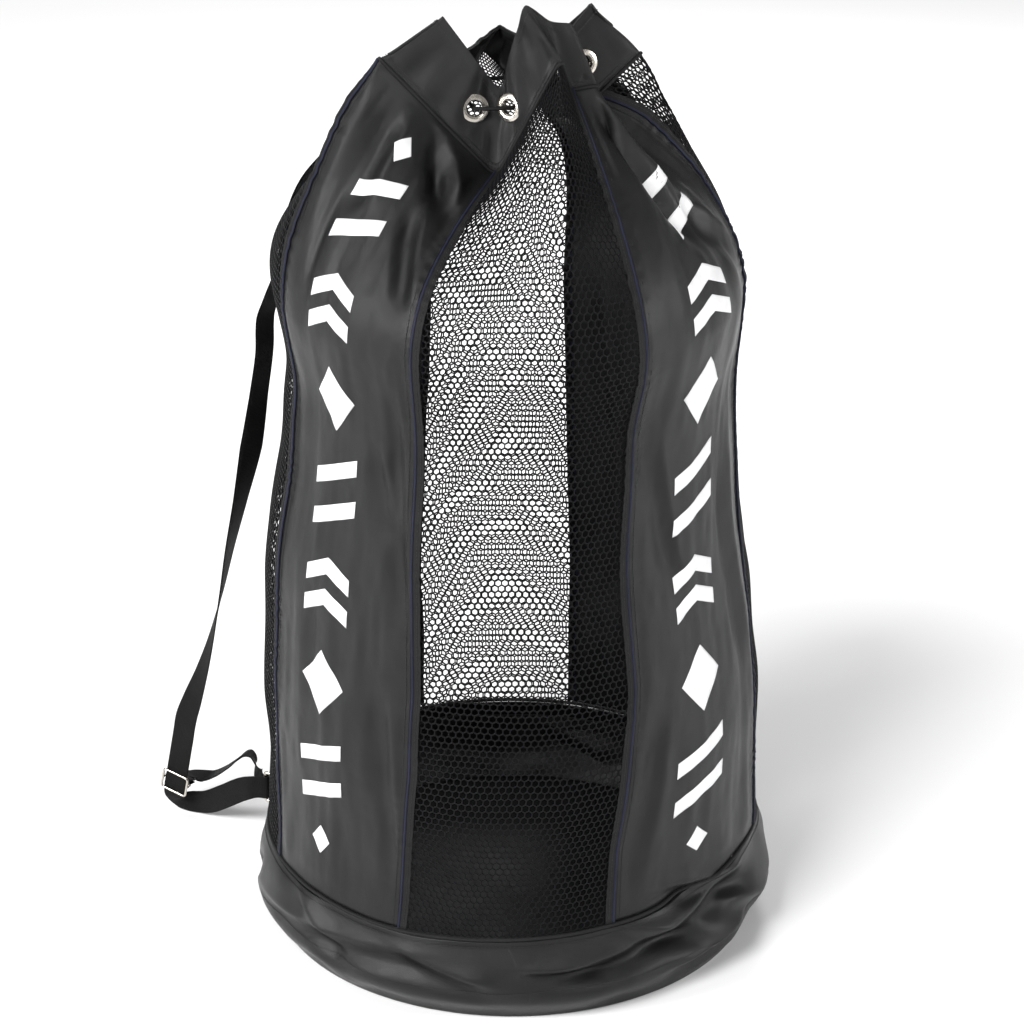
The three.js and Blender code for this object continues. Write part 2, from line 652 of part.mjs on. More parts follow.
function slideGeometry() {
  const front = WEBBING / 2 + GAP + SLIDE_BAR / 2;
  const back = MIDDLE_BAR;
  const inside = WEBBING_WIDTH + 2;
  const bar = (along, depth) => {
    return new THREE.BoxGeometry(inside + 2 * SLIDE_BAR, SLIDE_BAR, SLIDE_BAR).translate(0, along, depth);
  };
  const cheek = (side) => {
    const depth = front - back + SLIDE_BAR;
    const box = new THREE.BoxGeometry(SLIDE_BAR, SLIDE_LENGTH, depth);
    return box.translate(side * (inside + SLIDE_BAR) / 2, 0, (front + back) / 2);
  };
  const reach = (SLIDE_LENGTH - SLIDE_BAR) / 2;
  return join(bar(reach, front), bar(-reach, front), bar(0, back), cheek(-1), cheek(1));
}

function addSlide() {
  const top = strapPoint(STRAIGHT_TOP[0], 0, STRAIGHT_TOP[1]);
  const end = strapPoint(STRAIGHT_END[0], 0, STRAIGHT_END[1]);
  const up = top.clone().sub(end).normalize();
  const twisted = turnedWidth(SLIDE_TURN);
  const across = twisted.clone().addScaledVector(up, -twisted.dot(up)).normalize();
  const facing = across.clone().cross(up);
  const slide = new THREE.Group();
  slide.quaternion.setFromRotationMatrix(new THREE.Matrix4().makeBasis(across, up, facing));
  slide.position.copy(top).addScaledVector(up, -SLIDE_DOWN);
  group.add(slide);
  addMesh('strap_slide', slideGeometry(), 'nickel', slide);

  const back = MIDDLE_BAR;
  const wrap = SEWN_WRAP;
  const around = spread(Math.PI, 0, 6).map((turn) => [Math.cos(turn) * wrap, back + Math.sin(turn) * wrap]);
  const loop = [[-4, back - 14], [-wrap, back - 5], ...around, [wrap - 0.2, back - 5], [-1.4, back - 14]];
  const stations = loop.map(([along, depth]) => [vec(0, along, depth), vec(1, 0, 0)]);
  addMesh('strap_sewn_end', ribbon(stations, WEBBING_WIDTH, WEBBING, 28), 'webbing', slide);
}

function addStrap() {
  addMesh('strap_upper_run', ribbon(upperRun(), WEBBING_WIDTH, WEBBING, 36), 'webbing');
  addMesh('shoulder_strap', ribbon(looseRun(), WEBBING_WIDTH, WEBBING, 124), 'webbing');
  addLowerRing();
  addRingTab();
  addSlide();
}

addBase();
addWall();
addCollar();
addDrawcord();
addCordLock();
addStrap();

export default group;
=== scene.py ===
"""Drawstring mesh ball bag, standing filled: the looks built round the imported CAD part, in metres.

Every soft piece lies on one master surface. "angle" is measured round the bag from -Y towards +X, in
degrees, and "level" runs up it: -1 floor, 0 base seam, 1 collar seam, 2 top edge, as in the CAD source.
"""

import math

import bmesh
import bpy
import numpy as np
from mathutils import Matrix, Vector


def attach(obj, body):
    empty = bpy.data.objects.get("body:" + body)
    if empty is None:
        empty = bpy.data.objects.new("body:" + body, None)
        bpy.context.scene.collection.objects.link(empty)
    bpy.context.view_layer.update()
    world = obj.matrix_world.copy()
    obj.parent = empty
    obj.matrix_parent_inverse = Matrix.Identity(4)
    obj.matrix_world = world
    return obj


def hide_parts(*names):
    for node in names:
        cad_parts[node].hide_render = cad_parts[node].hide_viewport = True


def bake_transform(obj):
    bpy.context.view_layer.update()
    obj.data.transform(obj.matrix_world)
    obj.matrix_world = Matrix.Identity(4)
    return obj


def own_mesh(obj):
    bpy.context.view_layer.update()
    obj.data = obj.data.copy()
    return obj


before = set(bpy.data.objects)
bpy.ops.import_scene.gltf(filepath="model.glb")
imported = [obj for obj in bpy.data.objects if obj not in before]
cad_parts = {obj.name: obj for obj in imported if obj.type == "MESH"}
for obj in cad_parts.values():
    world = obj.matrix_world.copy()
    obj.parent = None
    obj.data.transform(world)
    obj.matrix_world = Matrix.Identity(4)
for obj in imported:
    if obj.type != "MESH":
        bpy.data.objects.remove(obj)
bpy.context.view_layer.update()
scene = bpy.context.scene

# ---------- driving dimensions, the same as the CAD source's ----------

SEAM_ANGLES = [27, 73, 114, 160]  # panel edges on the +X side, mirrored on the -X side
SEAM_HEIGHT = 0.090
BAND_FOOT = 0.0012
BAND_RADII = [0.236, 0.251, 0.253, 0.249, 0.242]
SHOULDER_LEVEL = 0.7
SHOULDER_HEIGHT = 0.660
BODY_RADII = [0.242, 0.240, 0.241, 0.235, 0.227, 0.217, 0.212, 0.224]
SHOULDER_RISE = 0.080
NECK_RUN = 0.37
FOLD_CLOTH = [-73, -27, 10, 27, 42, 66, 95, 136, 190, 257]
FOLD_SEAM = [
    [-73, 0.132, 0.896], [-16, 0.068, 0.785], [28, 0.082, 0.898], [43, 0.072, 0.862], [55, 0.092, 0.866],
    [72, 0.066, 0.832], [92, 0.122, 0.880], [136, 0.066, 0.800], [190, 0.116, 0.850], [256, 0.068, 0.806],
]
FOLD_TOP = [
    [-62, 0.076, 0.932], [-18, 0.046, 0.860], [8, 0.052, 0.945], [33, 0.058, 0.925], [50, 0.068, 0.922],
    [68, 0.046, 0.896], [86, 0.074, 0.930], [138, 0.046, 0.876], [185, 0.070, 0.886], [256, 0.046, 0.880],
]
FOLD_ROUNDING = 3.0
EYELET_ANGLES_FROM = [(-73, -27, 10), (42, 66, 95), (95, 136, 190), (190, 257, 287)]
EYELET_LEVEL = 1.5
EYELET_NEARNESS = 0.26
EYELET_BORE = 0.0070
EYELET_FLANGE = 0.0130
EYELET_REACH = 0.006
FIRST_EYELET = 5  # the first one that the cord passes through after the lock
CORD_DIAMETER = 0.004
KNOT_RADIUS = 0.0045
LOCK_ANGLE = 136
LOCK_RADIUS = 0.112
LOCK_HEIGHT = 0.812
STRAND_SPACING = 0.0046
TAIL_SPREAD = 56
CORD_LIFT = CORD_DIAMETER / 2 + 0.0015
WEBBING_WIDTH = 0.025
WEBBING = 0.0014
STRAP_ANGLE = -118
SWING_RADIUS = 0.262
RING_HEIGHT = 0.058
RING_DEPTH = 0.014
RING_TALL = 0.032
RING_WIRE = 0.0036
GAP = 0.00035

CLOTH_PITCH = math.radians(1) * 0.24  # metres of cloth for each degree round the bag
WALL_FOOT = 0.0033
WALL_TOP = 0.9994
WALL_LEVELS = np.concatenate([np.linspace(WALL_FOOT, 0.70, 150)[:-1], np.linspace(0.70, WALL_TOP, 90)])
TOPSTITCH_IN = 0.0065
STITCH_LIFT = 0.0001
INNER_TAPE_OFFSET = -0.00195
TAPE_THICK = 0.0012

rng = np.random.default_rng(20)

# ---------- camera and light ----------


def add_camera():
    data = bpy.data.cameras.new("camera")
    data.lens = 137.2
    data.sensor_width = 36
    camera = bpy.data.objects.new("camera", data)
    scene.collection.objects.link(camera)
    azimuth = math.radians(-4.15)
    camera.location = (3.4 * math.sin(azimuth), -3.4 * math.cos(azimuth), 2.0)
    aim = Vector((0, 0, 0.42)) - camera.location
    camera.rotation_euler = aim.to_track_quat("-Z", "Y").to_euler()
    scene.camera = camera


def add_area_light(name, place, target, size, power):
    data = bpy.data.lights.new(name, "AREA")
    data.shape = "DISK"
    data.size = size
    data.energy = power
    light = bpy.data.objects.new(name, data)
    scene.collection.objects.link(light)
    light.location = place
    light.rotation_euler = (Vector(target) - light.location).to_track_quat("-Z", "Y").to_euler()


def add_light():
    sun = bpy.data.lights.new("window_light", "SUN")
    sun.energy = 2.9
    sun.angle = math.radians(26)
    lamp = bpy.data.objects.new("window_light", sun)
    scene.collection.objects.link(lamp)
    lamp.rotation_euler = Vector((1.3, 1.5, -1.9)).to_track_quat("-Z", "Y").to_euler()
    add_area_light("left_strip", (-2.2, -0.9, 1.3), (0, 0, 0.5), 0.7, 42)
    add_area_light("right_strip", (2.3, -1.1, 1.2), (0, 0, 0.45), 0.5, 34)
    add_area_light("rear_strip", (0.6, 2.4, 1.5), (0, 0, 0.5), 0.9, 26)
    world = bpy.data.worlds.new("studio")
    world.use_nodes = True
    background = world.node_tree.nodes["Background"]
    background.inputs["Color"].default_value = (1, 1, 1, 1)
    background.inputs["Strength"].default_value = 0.30
    scene.world = world
    scene.view_settings.view_transform = "Standard"


# ---------- the master surface ----------


def polar(angle, radius, height):
    turn = np.radians(angle)
    return np.stack(np.broadcast_arrays(radius * np.sin(turn), -radius * np.cos(turn), height), axis=-1)


def spline(values, share):
    values = np.asarray(values, float)
    place = np.clip(share, 0, 1) * (len(values) - 1)
    index = np.minimum(place.astype(int), len(values) - 2)
    t = place - index
    before, start, end, after = (values[np.clip(index + step, 0, len(values) - 1)] for step in (-1, 0, 1, 2))
    leave, arrive = (end - before) / 2, (after - start) / 2
    cubic = (2 * start - 2 * end + leave + arrive) * t**3
    return cubic + (3 * end - 3 * start - 2 * leave - arrive) * t**2 + leave * t + start


def fold_line(edge, cloth):
    turned = np.mod(cloth - FOLD_CLOTH[0], 360) + FOLD_CLOTH[0]
    corners = polar(*np.array(edge + edge[:1]).T)
    angles = FOLD_CLOTH + [FOLD_CLOTH[0] + 360]
    return np.stack([np.interp(turned, angles, corners[:, axis]) for axis in range(3)], axis=-1)


def rounded_fold_line(edge, cloth):
    return sum(fold_line(edge, cloth + share * FOLD_ROUNDING) for share in (-1, -0.5, 0, 0.5, 1)) / 5


def mix(a, b, share):
    share = np.asarray(share)[..., None]
    return a * (1 - share) + b * share


def surface(angle, level):
    angle, level = np.broadcast_arrays(np.asarray(angle, float), np.asarray(level, float))
    band_height = BAND_FOOT + (SEAM_HEIGHT - BAND_FOOT) * (level + 1)
    band = polar(angle, spline(BAND_RADII, level + 1), band_height)
    share = np.clip(level, 0, None) / SHOULDER_LEVEL
    body_height = SEAM_HEIGHT + (SHOULDER_HEIGHT - SEAM_HEIGHT) * share
    body = polar(angle, spline(BODY_RADII, share), body_height)
    seam = rounded_fold_line(FOLD_SEAM, angle)
    foot = polar(angle, BODY_RADII[-1], SHOULDER_HEIGHT)
    rise = foot + np.array([0, 0, SHOULDER_RISE])
    neck = mix(seam, rise, NECK_RUN)
    t = np.clip((level - SHOULDER_LEVEL) / (1 - SHOULDER_LEVEL), 0, 1)[..., None]
    shoulder = foot * (1 - t) ** 3 + rise * 3 * t * (1 - t) ** 2 + neck * 3 * t**2 * (1 - t) + seam * t**3
    collar = mix(seam, rounded_fold_line(FOLD_TOP, angle), np.clip(level - 1, 0, None))
    where = level[..., None]
    lower = np.where(where <= 0, band, np.where(where <= SHOULDER_LEVEL, body, shoulder))
    return np.where(where > 1, collar, lower)


def unit(vectors):
    return vectors / np.maximum(np.linalg.norm(vectors, axis=-1, keepdims=True), 1e-12)


def surface_normal(angle, level):
    level = np.asarray(level, float)
    edge = np.where(level > 1, np.maximum(level, 1.02), np.minimum(level, 0.98))
    across = surface(angle + 0.6, edge) - surface(angle - 0.6, edge)
    up = surface(angle, edge + 0.015) - surface(angle, edge - 0.015)
    return unit(np.cross(across, up))


# ---------- what the cloth does on the master surface: bulges, creases and wrinkles ----------


def lattice_noise(x, y, seed, around=64):
    """Smooth noise from -1 to 1 that changes about once each whole step, and repeats after "around" in x."""
    table = np.random.default_rng(seed).uniform(-1, 1, (around, 64))
    ix, iy = np.floor(x).astype(int), np.floor(y).astype(int)
    fx, fy = x - ix, y - iy
    fx, fy = fx * fx * (3 - 2 * fx), fy * fy * (3 - 2 * fy)

    def corner(dx, dy):
        return table[(ix + dx) % around, (iy + dy) % 64]

    low = corner(0, 0) * (1 - fx) + corner(1, 0) * fx
    high = corner(0, 1) * (1 - fx) + corner(1, 1) * fx
    return low * (1 - fy) + high * fy


def turn_between(angle, other):
    return np.mod(angle - other + 180, 360) - 180


def bump(angle, height, place, size):
    """A soft hill of height 1 at place = (angle, height), of half-size (degrees, metres)."""
    return np.exp(-((turn_between(angle, place[0]) / size[0]) ** 2) - ((height - place[1]) / size[1]) ** 2)


# Where the balls inside press the wall out, and where it falls in between them: place, size, rise.
BULGES = [
    ((-90, 0.42), (45, 0.085), 0.008),
    ((-90, 0.55), (40, 0.035), 0.003),
    ((-102, 0.71), (28, 0.05), 0.008),
    ((-108, 0.81), (30, 0.06), 0.022),
    ((88, 0.76), (34, 0.09), -0.012),
    ((90, 0.43), (45, 0.10), -0.007),
    ((88, 0.66), (30, 0.05), -0.006),
    ((0, 0.19), (24, 0.07), 0.006),
    ((8, 0.33), (22, 0.06), 0.005),
    ((-8, 0.51), (22, 0.07), 0.006),
    ((12, 0.66), (20, 0.07), 0.008),
    ((0, 0.26), (26, 0.025), -0.004),
    ((0, 0.42), (26, 0.03), -0.004),
    ((180, 0.25), (30, 0.08), 0.006),
    ((170, 0.48), (30, 0.09), 0.006),
    ((188, 0.66), (30, 0.07), 0.006),
    ((-50, 0.30), (20, 0.10), 0.003),
    ((50, 0.34), (18, 0.10), -0.003),
]

# Creases pressed into the cloth: (angle, height) at each end, half-width in metres, depth.
CREASES = [
    ((-52, 0.885), (-33, 0.800), 0.014, 0.012),
    ((-60, 0.850), (-56, 0.760), 0.018, 0.006),
    ((-40, 0.790), (-31, 0.700), 0.012, 0.005),
    ((-34, 0.640), (-30, 0.400), 0.010, 0.0035),
    ((-40, 0.560), (-33, 0.470), 0.012, 0.003),
    ((-36, 0.330), (-31, 0.160), 0.011, 0.003),
    ((34, 0.860), (52, 0.730), 0.016, 0.012),
    ((44, 0.800), (66, 0.700), 0.014, 0.006),
    ((32, 0.560), (40, 0.420), 0.012, 0.003),
    ((60, 0.520), (66, 0.300), 0.014, 0.004),
    ((34, 0.300), (30, 0.130), 0.012, 0.003),
    ((122, 0.82), (128, 0.70), 0.014, 0.006),
    ((150, 0.60), (146, 0.30), 0.012, 0.004),
    ((-146, 0.80), (-140, 0.66), 0.014, 0.006),
    ((-126, 0.52), (-132, 0.25), 0.012, 0.004),
    ((2, 0.042), (66, 0.068), 0.012, 0.011),
    ((34, 0.018), (76, 0.034), 0.009, 0.008),
    ((-78, 0.034), (-24, 0.056), 0.013, 0.006),
    ((26, 0.070), (46, 0.040), 0.012, 0.007),
    ((38, 0.098), (62, 0.060), 0.011, 0.007),
    ((52, 0.050), (76, 0.022), 0.009, 0.006),
    ((-2, 0.052), (20, 0.046), 0.008, 0.004),
    ((-30, 0.060), (-8, 0.030), 0.012, 0.005),
    ((-62, 0.072), (-44, 0.030), 0.012, 0.004),
    ((-84, 0.060), (-96, 0.025), 0.012, 0.005),
    ((110, 0.070), (130, 0.030), 0.012, 0.006),
    ((168, 0.060), (150, 0.028), 0.011, 0.006),
    ((200, 0.070), (222, 0.034), 0.012, 0.006),
    ((-120, 0.066), (-112, 0.030), 0.011, 0.005),
]


def crease_depth(angle, height, start, end, half_width, depth):
    """A valley along a line, with a soft ridge thrown up on its upper side."""
    x, y = turn_between(angle, start[0]) * CLOTH_PITCH, height - start[1]
    dx, dy = (end[0] - start[0]) * CLOTH_PITCH, end[1] - start[1]
    length = math.hypot(dx, dy)
    along = (x * dx + y * dy) / length**2
    side = (x * dy - y * dx) / length / half_width
    fade = np.exp(-(np.clip(np.abs(along - 0.5) - 0.25, 0, None) / 0.22) ** 2)
    crest = np.exp(-1.5 * np.sqrt((side + 1.2) ** 2 + 0.02))
    return 1.4 * depth * fade * (0.75 * crest - np.exp(-(side**2)))


def fabric_share(angle):
    """1 inside the fabric panels, 0 in the mesh windows."""
    away = np.abs(turn_between(angle, 0))
    front = np.clip(np.minimum(away - SEAM_ANGLES[0], SEAM_ANGLES[1] - away) / 3, 0, 1)
    back = np.clip(np.minimum(away - SEAM_ANGLES[2], SEAM_ANGLES[3] - away) / 3, 0, 1)
    return np.maximum(front, back)


def seam_nearness(angle):
    """1 at a panel's edge, falling to 0 about 15 mm inside it."""
    away = np.abs(turn_between(angle, 0))
    return sum(np.exp(-(((away - seam) / 3.2) ** 2)) for seam in SEAM_ANGLES)


def cloth_height(level):
    """A rough height for each level, to place the relief by."""
    heights = [BAND_FOOT, SEAM_HEIGHT, SHOULDER_HEIGHT, 0.87, 0.95]
    return np.interp(level, [-1, 0, SHOULDER_LEVEL, 1, 2], heights)


def relief(angle, level):
    height = cloth_height(level)
    rise = sum(size * bump(angle, height, place, spread) for place, spread, size in BULGES)
    rise = rise + sum(crease_depth(angle, height, *crease) for crease in CREASES)
    x, y = np.mod(angle, 360) / 360 * 64, height / 0.03
    upright = lattice_noise(x * 1.0, y / 4, 1) * 0.0012 + lattice_noise(x * 2.0, y / 3, 2) * 0.0006
    crumple = lattice_noise(x * 3.0, y * 1.3, 3) * 0.0003
    near_collar = np.clip((level - 0.78) / 0.2, 0, 1)
    gathers = near_collar * lattice_noise(x * 2.0, y / 5, 4) * 0.0022
    ripples = np.sin(height / 0.0115 * 2 * math.pi + lattice_noise(x, y * 2, 12) * 2.5)
    puckers = seam_nearness(angle) * ripples * lattice_noise(x * 2, y / 1.5, 13) * 0.0009
    panels = fabric_share(angle) * (upright * 1.6 + crumple * 1.5 + gathers) + puckers
    net_sag = (1 - fabric_share(angle)) * lattice_noise(x / 2, y / 2, 5, 32) * 0.0022
    in_band = np.clip(-level / 0.1, 0, 1) * np.clip((level + 1) / 0.12, 0, 1)
    band = in_band * (lattice_noise(x / 2, y / 1.2, 6, 32) * 0.0045 + lattice_noise(x, y, 7) * 0.0006)
    on_wall = np.clip(level / 0.03, 0, 1)
    fade_out = np.clip((0.99 - level) / 0.05, 0, 1) * np.clip((level + 1) / 0.1, 0, 1)
    return fade_out * (rise + on_wall * (panels + net_sag) + band)


# How far the front seams drift round the bag, in degrees, at each of these levels.
LEAN_LEVELS = [-0.6, 0, 0.1, 0.2, 0.3, 0.45, 0.55, 0.67, 1]
LEFT_LEAN = [0, -3.4, -1.7, -0.2, 0.3, -0.9, -0.9, -0.7, 0]
RIGHT_LEAN = [0, -8, -7, -4.2, -2.2, -2.8, -1, 0.7, 0]
SIDE_LEAN_LEVELS = [0.42, 0.58, 0.7, 0.85, 0.94, 1]
SIDE_LEAN = [0, 5, 10, 11, 6, 0]


def lean(angle, level):
    turned = turn_between(angle, 0)
    left = np.interp(level, LEAN_LEVELS, LEFT_LEAN) * np.interp(turned, [-73, -27, 27], [0, 1, 0])
    right = np.interp(level, LEAN_LEVELS, RIGHT_LEAN) * np.interp(turned, [-27, 27, 73], [0, 1, 0])
    side = np.interp(level, SIDE_LEAN_LEVELS, SIDE_LEAN) * np.interp(turned, [27, 73, 114], [0, 1, 0])
    return left + right + side


def seam_rise(angle, level):
    """How much the base seam and the cloth near it ride up or hang down."""
    near = np.exp(-((cloth_height(level) - SEAM_HEIGHT) / 0.045) ** 2)
    right_rise = 0.018 * np.exp(-((turn_between(angle, 62) / 30) ** 2))
    left_drop = 0.005 * np.exp(-((turn_between(angle, -30) / 26) ** 2))
    return near * (right_rise - left_drop)


def cloth(angle, level, offset=0.0):
    """Points on the wrinkled cloth at these angles and levels, lifted outwards by offset."""
    angle, level = np.broadcast_arrays(np.asarray(angle, float), np.asarray(level, float))
    turned = angle + lean(angle, level)
    points = surface(turned, level)
    normal = surface_normal(turned, level)
    points = points + normal * (relief(angle, level) + offset)[..., None]
    points[..., 2] += seam_rise(angle, level)
    return points


def cloth_frame(angle, level, offset=0.0):
    """Points, unit directions across (towards higher angles) and unit normals."""
    points = cloth(angle, level, offset)
    across = unit(cloth(angle + 0.4, level) - cloth(angle - 0.4, level))
    up = cloth(angle, level + 0.004) - cloth(angle, level - 0.004)
    normal = unit(np.cross(across, up))
    return points, across, normal


# ---------- materials ----------


def material(name, color, roughness, metallic=0.0, specular=0.5):
    made = bpy.data.materials.new(name)
    made.use_nodes = True
    shader = made.node_tree.nodes["Principled BSDF"]
    shader.inputs["Base Color"].default_value = (*color, 1)
    shader.inputs["Roughness"].default_value = roughness
    shader.inputs["Metallic"].default_value = metallic
    shader.inputs["Specular IOR Level"].default_value = specular
    return made


def add_node(made, kind, **inputs):
    node = made.node_tree.nodes.new(kind)
    for name, value in inputs.items():
        node.inputs[name.replace("_", " ")].default_value = value
    return node


def link(made, start, end):
    made.node_tree.links.new(start, end)


def shader_of(made):
    return made.node_tree.nodes["Principled BSDF"]


def cloth_coordinates(made, scale):
    """The piece's own cloth coordinates in metres, times scale."""
    source = made.node_tree.nodes.new("ShaderNodeUVMap")
    source.uv_map = "cloth"
    mapping = add_node(made, "ShaderNodeMapping", Scale=(scale, scale, 1))
    link(made, source.outputs["UV"], mapping.inputs["Vector"])
    return mapping.outputs["Vector"]


def wave(made, vector, direction):
    node = add_node(made, "ShaderNodeTexWave", Scale=1.0)
    node.bands_direction = direction
    link(made, vector, node.inputs["Vector"])
    return node.outputs["Fac"]


def combine(made, operation, first, second):
    node = made.node_tree.nodes.new("ShaderNodeMath")
    node.operation = operation
    link(made, first, node.inputs[0])
    if isinstance(second, (int, float)):
        node.inputs[1].default_value = second
    else:
        link(made, second, node.inputs[1])
    return node.outputs["Value"]


def noise(made, scale, detail):
    """Noise in the piece's own space, with features about 1/scale metres across."""
    node = add_node(made, "ShaderNodeTexNoise", Scale=scale, Detail=detail)
    coordinates = made.node_tree.nodes.new("ShaderNodeTexCoord")
    link(made, coordinates.outputs["Object"], node.inputs["Vector"])
    return node.outputs["Fac"]


def spread(made, factor, low, high):
    """The middle half of a noise, stretched to run from low to high."""
    node = add_node(made, "ShaderNodeMapRange", From_Min=0.25, From_Max=0.75, To_Min=low, To_Max=high)
    link(made, factor, node.inputs["Value"])
    return node.outputs["Result"]


def ramp(made, factor, dark, light):
    """A colour between dark and light."""
    node = made.node_tree.nodes.new("ShaderNodeMix")
    node.data_type = "RGBA"
    node.inputs["A"].default_value = (*dark, 1)
    node.inputs["B"].default_value = (*light, 1)
    link(made, factor, node.inputs["Factor"])
    return node.outputs["Result"]


def set_bump(made, height, distance, strength=1.0):
    node = add_node(made, "ShaderNodeBump", Strength=strength, Distance=distance)
    link(made, height, node.inputs["Height"])
    link(made, node.outputs["Normal"], shader_of(made).inputs["Normal"])


def woven(name, dark, light, roughness, pitch, depth, specular, crumple=0.0):
    """Plain woven cloth: crossed threads, mottled colour and a little patchy wear in its gloss."""
    made = material(name, light, roughness, specular=specular)
    # A wave texture has 20 / (2 pi) bands to the unit, so this scale makes one thread per pitch.
    vector = cloth_coordinates(made, 2 * math.pi / (20 * pitch))
    weave = combine(made, "MULTIPLY", wave(made, vector, "X"), wave(made, vector, "Y"))
    mottled = ramp(made, spread(made, noise(made, 30, 5), 0, 1), dark, light)
    link(made, mottled, shader_of(made).inputs["Base Color"])
    worn = spread(made, noise(made, 12, 4), roughness - 0.08, roughness + 0.08)
    link(made, worn, shader_of(made).inputs["Roughness"])
    threads = combine(made, "MULTIPLY", combine(made, "ADD", weave, noise(made, 900, 2)), depth)
    handled = combine(made, "MULTIPLY", noise(made, 40, 4), crumple)
    set_bump(made, combine(made, "ADD", threads, handled), 1.0)
    return made


def make_looks():
    looks = {
        "fabric": woven("black_fabric", (0.0042, 0.0042, 0.0046), (0.0078, 0.0078, 0.0083), 0.36,
                        0.0007, 0.0001, 0.30, 0.0008),
        "lining": woven("fabric_inside", (0.006, 0.006, 0.0065), (0.010, 0.010, 0.0105), 0.60,
                        0.0007, 0.0001, 0.3, 0.001),
        "binding": woven("navy_binding", (0.004, 0.005, 0.016), (0.007, 0.009, 0.030), 0.60,
                         0.0008, 0.0002, 0.3),
        "tape": woven("black_tape", (0.003, 0.003, 0.0035), (0.006, 0.006, 0.006), 0.65,
                      0.0009, 0.0002, 0.3),
        "webbing": woven("black_webbing", (0.0015, 0.0015, 0.0015), (0.0035, 0.0035, 0.0035), 0.65,
                         0.0016, 0.0003, 0.16),
        "cord": woven("black_cord", (0.002, 0.002, 0.002), (0.005, 0.005, 0.005), 0.7,
                      0.0011, 0.0003, 0.3),
        "thread": material("black_thread", (0.005, 0.005, 0.0055), 0.5),
        "net": material("black_net", (0.0020, 0.0020, 0.0028), 0.6, specular=0.14),
        "plastic": material("black_plastic", (0.010, 0.010, 0.010), 0.42),
        "nickel": material("nickel", (0.62, 0.58, 0.52), 0.22, metallic=1.0),
        "print": material("white_print", (0.78, 0.78, 0.78), 0.42),
        "floor": material("pale_floor", (0.90, 0.90, 0.90), 0.8, specular=0.1),
    }
    set_bump(looks["plastic"], noise(looks["plastic"], 1500, 3), 0.0001, 0.5)
    nickel = looks["nickel"]
    link(nickel, spread(nickel, noise(nickel, 300, 4), 0.14, 0.34), shader_of(nickel).inputs["Roughness"])
    ink = looks["print"]
    worn = ramp(ink, spread(ink, noise(ink, 60, 6), 0, 1), (0.70, 0.70, 0.71), (0.82, 0.82, 0.82))
    link(ink, worn, shader_of(ink).inputs["Base Color"])
    set_bump(ink, noise(ink, 1200, 3), 0.0001, 0.4)
    return looks


# ---------- mesh making ----------


def make(name, vertices, faces, look, uv=None, closed=False):
    """A piece from its points, faces and cloth coordinates. A closed one has its faces turned outwards."""
    mesh = bpy.data.meshes.new(name)
    mesh.from_pydata(np.asarray(vertices).reshape(-1, 3).tolist(), [], [tuple(face) for face in faces])
    if uv is not None:
        layer = mesh.uv_layers.new(name="cloth")
        corner = np.zeros(len(mesh.loops), np.int64)
        mesh.loops.foreach_get("vertex_index", corner)
        layer.data.foreach_set("uv", np.asarray(uv, float).reshape(-1, 2)[corner].astype(np.float32).ravel())
    if closed:
        work = bmesh.new()
        work.from_mesh(mesh)
        bmesh.ops.recalc_face_normals(work, faces=work.faces)
        work.to_mesh(mesh)
        work.free()
    mesh.shade_smooth()
    mesh.materials.append(looks[look])
    obj = bpy.data.objects.new(name, mesh)
    scene.collection.objects.link(obj)
    return obj


def grid_faces(rows, columns, wrap=False):
    """Quads of a grid whose points run along the columns first."""
    index = np.arange(rows * columns).reshape(rows, columns)
    right = np.roll(index, -1, axis=1)
    span = slice(None) if wrap else slice(None, -1)
    corners = [index[:-1, span], right[:-1, span], right[1:, span], index[1:, span]]
    return np.stack([corner.ravel() for corner in corners], axis=-1)


def line_lengths(points):
    steps = np.linalg.norm(np.diff(points, axis=0), axis=-1)
    return np.concatenate([[0], np.cumsum(steps)])


def cloth_uv(points, angles):
    along = line_lengths(points[:, points.shape[1] // 2])
    across = (np.asarray(angles) - angles[0]) * CLOTH_PITCH
    return np.stack(np.meshgrid(across, along), axis=-1)


def thicken(obj, thickness):
    modifier = obj.modifiers.new("thickness", "SOLIDIFY")
    modifier.thickness = thickness
    modifier.offset = -1
    return obj


def ride(obj, body, *nodes):
    """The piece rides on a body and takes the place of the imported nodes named, if any are."""
    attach(obj, body)
    if nodes:
        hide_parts(*nodes)


def apply_modifiers(obj):
    graph = bpy.context.evaluated_depsgraph_get()
    mesh = bpy.data.meshes.new_from_object(obj.evaluated_get(graph))
    obj.modifiers.clear()
    obj.data = mesh
    return obj


def cloth_sheet(name, angles, levels, offset, thickness, look, wrap=False):
    """A piece of cloth cut from the master surface: a fine grid with a real thickness."""
    grid_angles, grid_levels = np.meshgrid(angles, levels)
    points = cloth(grid_angles, grid_levels, offset)
    obj = make(name, points, grid_faces(*points.shape[:2], wrap), look, cloth_uv(points, angles))
    return apply_modifiers(thicken(obj, thickness))


def round_profile(radius, sides):
    turns = np.linspace(0, 2 * math.pi, sides, endpoint=False)
    return np.stack([np.cos(turns), np.sin(turns)], axis=-1) * radius


def flat_profile(width, thickness, edge_steps=3):
    """Outline of a flat strip with rounded edges, [side, rise]."""
    turns = np.linspace(-math.pi / 2, math.pi / 2, 2 * edge_steps + 1)
    bend = thickness / 2
    right = np.stack([width / 2 - bend + np.cos(turns) * bend, np.sin(turns) * bend], axis=-1)
    spans = np.linspace(width / 2 - bend, -width / 2 + bend, 8)[1:-1]
    top = np.stack([spans, np.full(len(spans), bend)], axis=-1)
    return np.concatenate([right, top, -right, -top])


